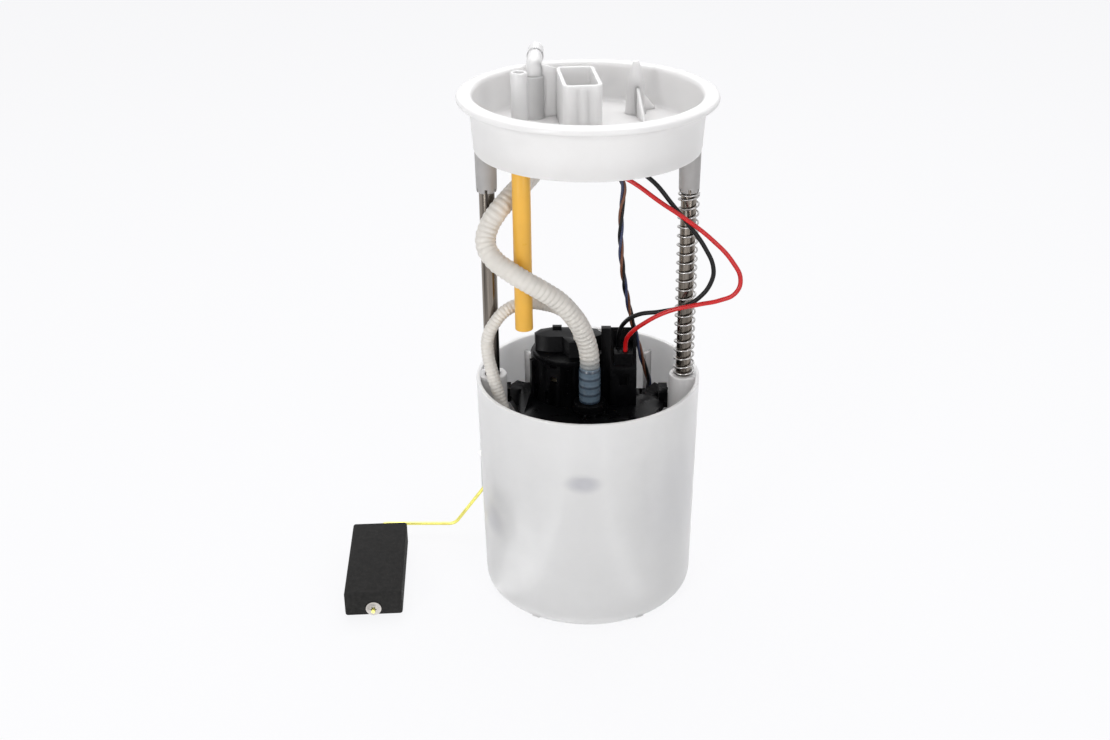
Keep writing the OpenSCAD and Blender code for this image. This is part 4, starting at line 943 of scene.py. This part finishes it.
def corrugated_hose(name, route, root, crest, pitch, sides):
    """One fold of the hose is drawn, repeated along X and then laid along the route."""
    line = smooth_line(name + "_line", route)
    length = line.data.splines[0].calc_length()
    folds = round(length / pitch)
    step = length / folds
    select_nothing()
    bpy.ops.mesh.primitive_circle_add(vertices=sides, radius=root, rotation=(0, math.pi / 2, 0))
    hose = name_piece(bpy.context.object, name)
    settle(hose)
    bpy.ops.object.mode_set(mode="EDIT")
    bpy.ops.mesh.select_all(action="SELECT")
    mid = (root + crest) / 2
    now = root
    for part, radius in ((0.16, root), (0.12, mid), (0.10, crest), (0.34, crest), (0.10, mid), (0.18, root)):
        bpy.ops.mesh.extrude_region_move(TRANSFORM_OT_translate={"value": (part * step, 0, 0)})
        bpy.ops.transform.resize(value=(1, radius / now, radius / now), center_override=(0, 0, 0))
        now = radius
    bpy.ops.object.mode_set(mode="OBJECT")
    repeat = hose.modifiers.new("folds", "ARRAY")
    repeat.use_relative_offset = False
    repeat.use_constant_offset = True
    repeat.constant_offset_displace = (step, 0, 0)
    repeat.count = folds
    repeat.use_merge_vertices = True
    repeat.merge_threshold = 0.00002
    lay = hose.modifiers.new("lay", "CURVE")
    lay.object = line
    apply_all(hose)
    bpy.data.objects.remove(line)
    face_outwards(hose, 0.00002)
    smooth(hose, 75)
    return hose


def round_lead(name, route, radius):
    line = smooth_line(name, route)
    line.data.bevel_depth = radius
    line.data.bevel_resolution = 3
    line.data.use_fill_caps = True
    line.data.resolution_u = 8
    take_up(line)
    bpy.ops.object.convert(target="MESH")
    lead = bpy.context.object
    face_outwards(lead)
    smooth(lead, 60)
    return lead


def metres(route):
    """The route's points in metres; the millimetres are those of the solids' own routes."""
    return [tuple(v / 1000.0 for v in point) for point in route]


feed_route = metres([
    (1, -9, 114), (1, -9, 137), (0.3, -9.6, 144), (-1.6, -11, 152), (-4.4, -13.4, 160),
    (-8.5, -16, 167.5), (-14.5, -18.8, 175.5), (-22.5, -21.6, 182.5), (-31.6, -23, 188.8),
    (-40, -21.8, 194), (-47.5, -18.8, 199.2), (-51.3, -14.5, 205.5), (-50, -11, 212.5),
    (-45.2, -8, 220.2), (-41.3, -4, 223.8), (-37.2, 2, 226.8), (-32, 11, 229.5),
    (-28.2, 18, 232.5), (-27, 22, 237), (-27, 22, 257.4)])
jet_route = metres([
    (-4.5, 6, 143.2), (-4.6, 6, 148.6), (-7.6, 5.8, 154.4), (-13.8, 4.7, 160.4),
    (-22.6, 1.8, 165), (-32.9, -2.5, 167.6), (-41.7, -5.2, 165.4), (-48.5, -7.8, 158.8),
    (-52.2, -9.2, 151), (-52.4, -10.4, 143), (-50.4, -12.2, 132.6), (-47.6, -14.4, 122.4),
    (-44.6, -16.6, 112), (-41.4, -18.6, 98), (-39, -19.8, 80), (-38, -20, 60), (-38, -20, 13.2)])
red_route = metres([
    (-3.77, 4.04, 251.3), (-3.5, 3.9, 247.8), (2, 2.4, 245), (13, -2, 239), (23.5, -7.5, 234.6),
    (35.6, -11, 226.6), (48.5, -13.5, 218.4), (62.3, -15, 207.7), (73, -16, 196.1),
    (77.4, -16, 186.3), (75, -16, 179), (67.4, -15, 174.7), (57, -14.5, 172.2),
    (41.8, -12.5, 167.6), (29, -8, 158.5), (21.8, -2.2, 149.3), (20.1, 1.8, 143), (20, 3, 138.6),
    (20, 3, 133.7)])
black_route = metres([
    (-5.23, 15.96, 251.3), (-4.8, 15.6, 248), (4, 11, 246), (18, 2, 242), (31.3, -6, 236.4),
    (43.1, -9, 223.2), (51, -10.5, 213.6), (59.2, -11.5, 202), (63.8, -11.5, 191),
    (63, -11, 183.2), (57.4, -10.2, 174.3), (49.8, -9.2, 168.9), (38, -6.5, 164.7),
    (26.6, -2, 161), (19.5, 3.5, 153.9), (16.8, 8.2, 145.6), (16.5, 10, 139.6), (16.5, 10, 133.7)])
sender_route = metres([
    (-4.5, 10, 251.3), (-4.2, 9.9, 247.2), (2, 8, 243), (12, 5, 239), (17.6, 5, 230.5),
    (17.2, 5, 216.5), (17, 7, 199.1), (18.3, 10, 181.1), (21.3, 16, 161.1), (26.2, 19.8, 138.5),
    (31, 21, 119.8), (33.6, 23.4, 110), (33, 28, 100), (27.5, 40, 93), (15, 51.5, 88),
    (0, 54, 86), (-15, 51.8, 86), (-28.5, 45.9, 86), (-36.4, 40, 86), (-41.5, 45, 86),
    (-44, 46.7, 83.5), (-44.2, 46.8, 80.5), (-44.2, 46.8, 78.4)])


def twisted_route(route, radius, start, twist_length):
    """The line of one of the thin leads as it winds round the bundle's middle."""
    guide = smooth_line("guide", route)
    guide.data.resolution_u = 8
    take_up(guide)
    bpy.ops.object.convert(target="MESH")
    places = [v.co.copy() for v in bpy.context.object.data.vertices]
    bpy.data.objects.remove(bpy.context.object)
    wound, run, side = [], 0.0, Vector((1, 0, 0))
    for i, place in enumerate(places):
        ahead = (places[min(i + 1, len(places) - 1)] - places[max(i - 1, 0)]).normalized()
        side = (side - ahead * side.dot(ahead)).normalized()
        if i:
            run += (place - places[i - 1]).length
        turn = start + 2 * math.pi * run / twist_length
        offset = side * math.cos(turn) + ahead.cross(side) * math.sin(turn)
        wound.append(place + offset * radius)
    return wound[::3] + wound[-1:]


CUFF_TOP = 0.1334
LEAD_R, THIN_LEAD_R, BUNDLE_R, TWIST = 0.00119, 0.00074, 0.00084, 0.034


def add_hoses_and_leads():
    """The feed hose is drawn from the cuff's top on, and the jet hose whole."""
    above_cuff = [(*feed_route[0][:2], CUFF_TOP)] + feed_route[1:]
    feed = corrugated_hose("feed_hose_folds", above_cuff, 0.00498, 0.00525, 0.0028, 24)
    paint(feed, hose_nylon)
    cuff = turned("feed_hose_cuff", rounded_profile(
        [(5.0, 113.9, 0), (5.6, 114.2, 0.3)]
        + [(5.85 if k % 2 else 5.55, 116.4 + 2.25 * k, 1.0) for k in range(8)]
        + [(5.2, 134.0, 0.4), (3.9, 134.2, 0), (3.9, 114.0, 0), (5.0, 113.9, 0)]), 48, (1, -9), ring=True)
    rides_on("bucket", "clear_hose", "feed_hose", cuff_nylon, cuff)
    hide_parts("feed_hose")
    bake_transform(feed)
    jet = corrugated_hose("jet_hose_folds", jet_route, 0.00317, 0.00337, 0.0019, 18)
    paint(jet, hose_nylon)
    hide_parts("jet_hose")
    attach(jet, "bucket")
    for name, route, material in (("lead_red", red_route, red_insulation),
                                  ("lead_black", black_route, black_insulation)):
        lead = name_piece(round_lead(name + "_wire", route, LEAD_R), name + "_wire")
        paint(lead, material)
        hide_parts(name)
        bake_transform(lead)
    for i, material in enumerate((brown_insulation, blue_insulation, black_insulation)):
        wound = twisted_route(sender_route, BUNDLE_R, 2 * math.pi * i / 3, TWIST)
        lead = name_piece(round_lead("sender_lead_%d" % i, wound, THIN_LEAD_R), "sender_lead_%d" % i)
        paint(lead, material)
        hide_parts("sender_leads")
        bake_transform(lead)


add_hoses_and_leads()
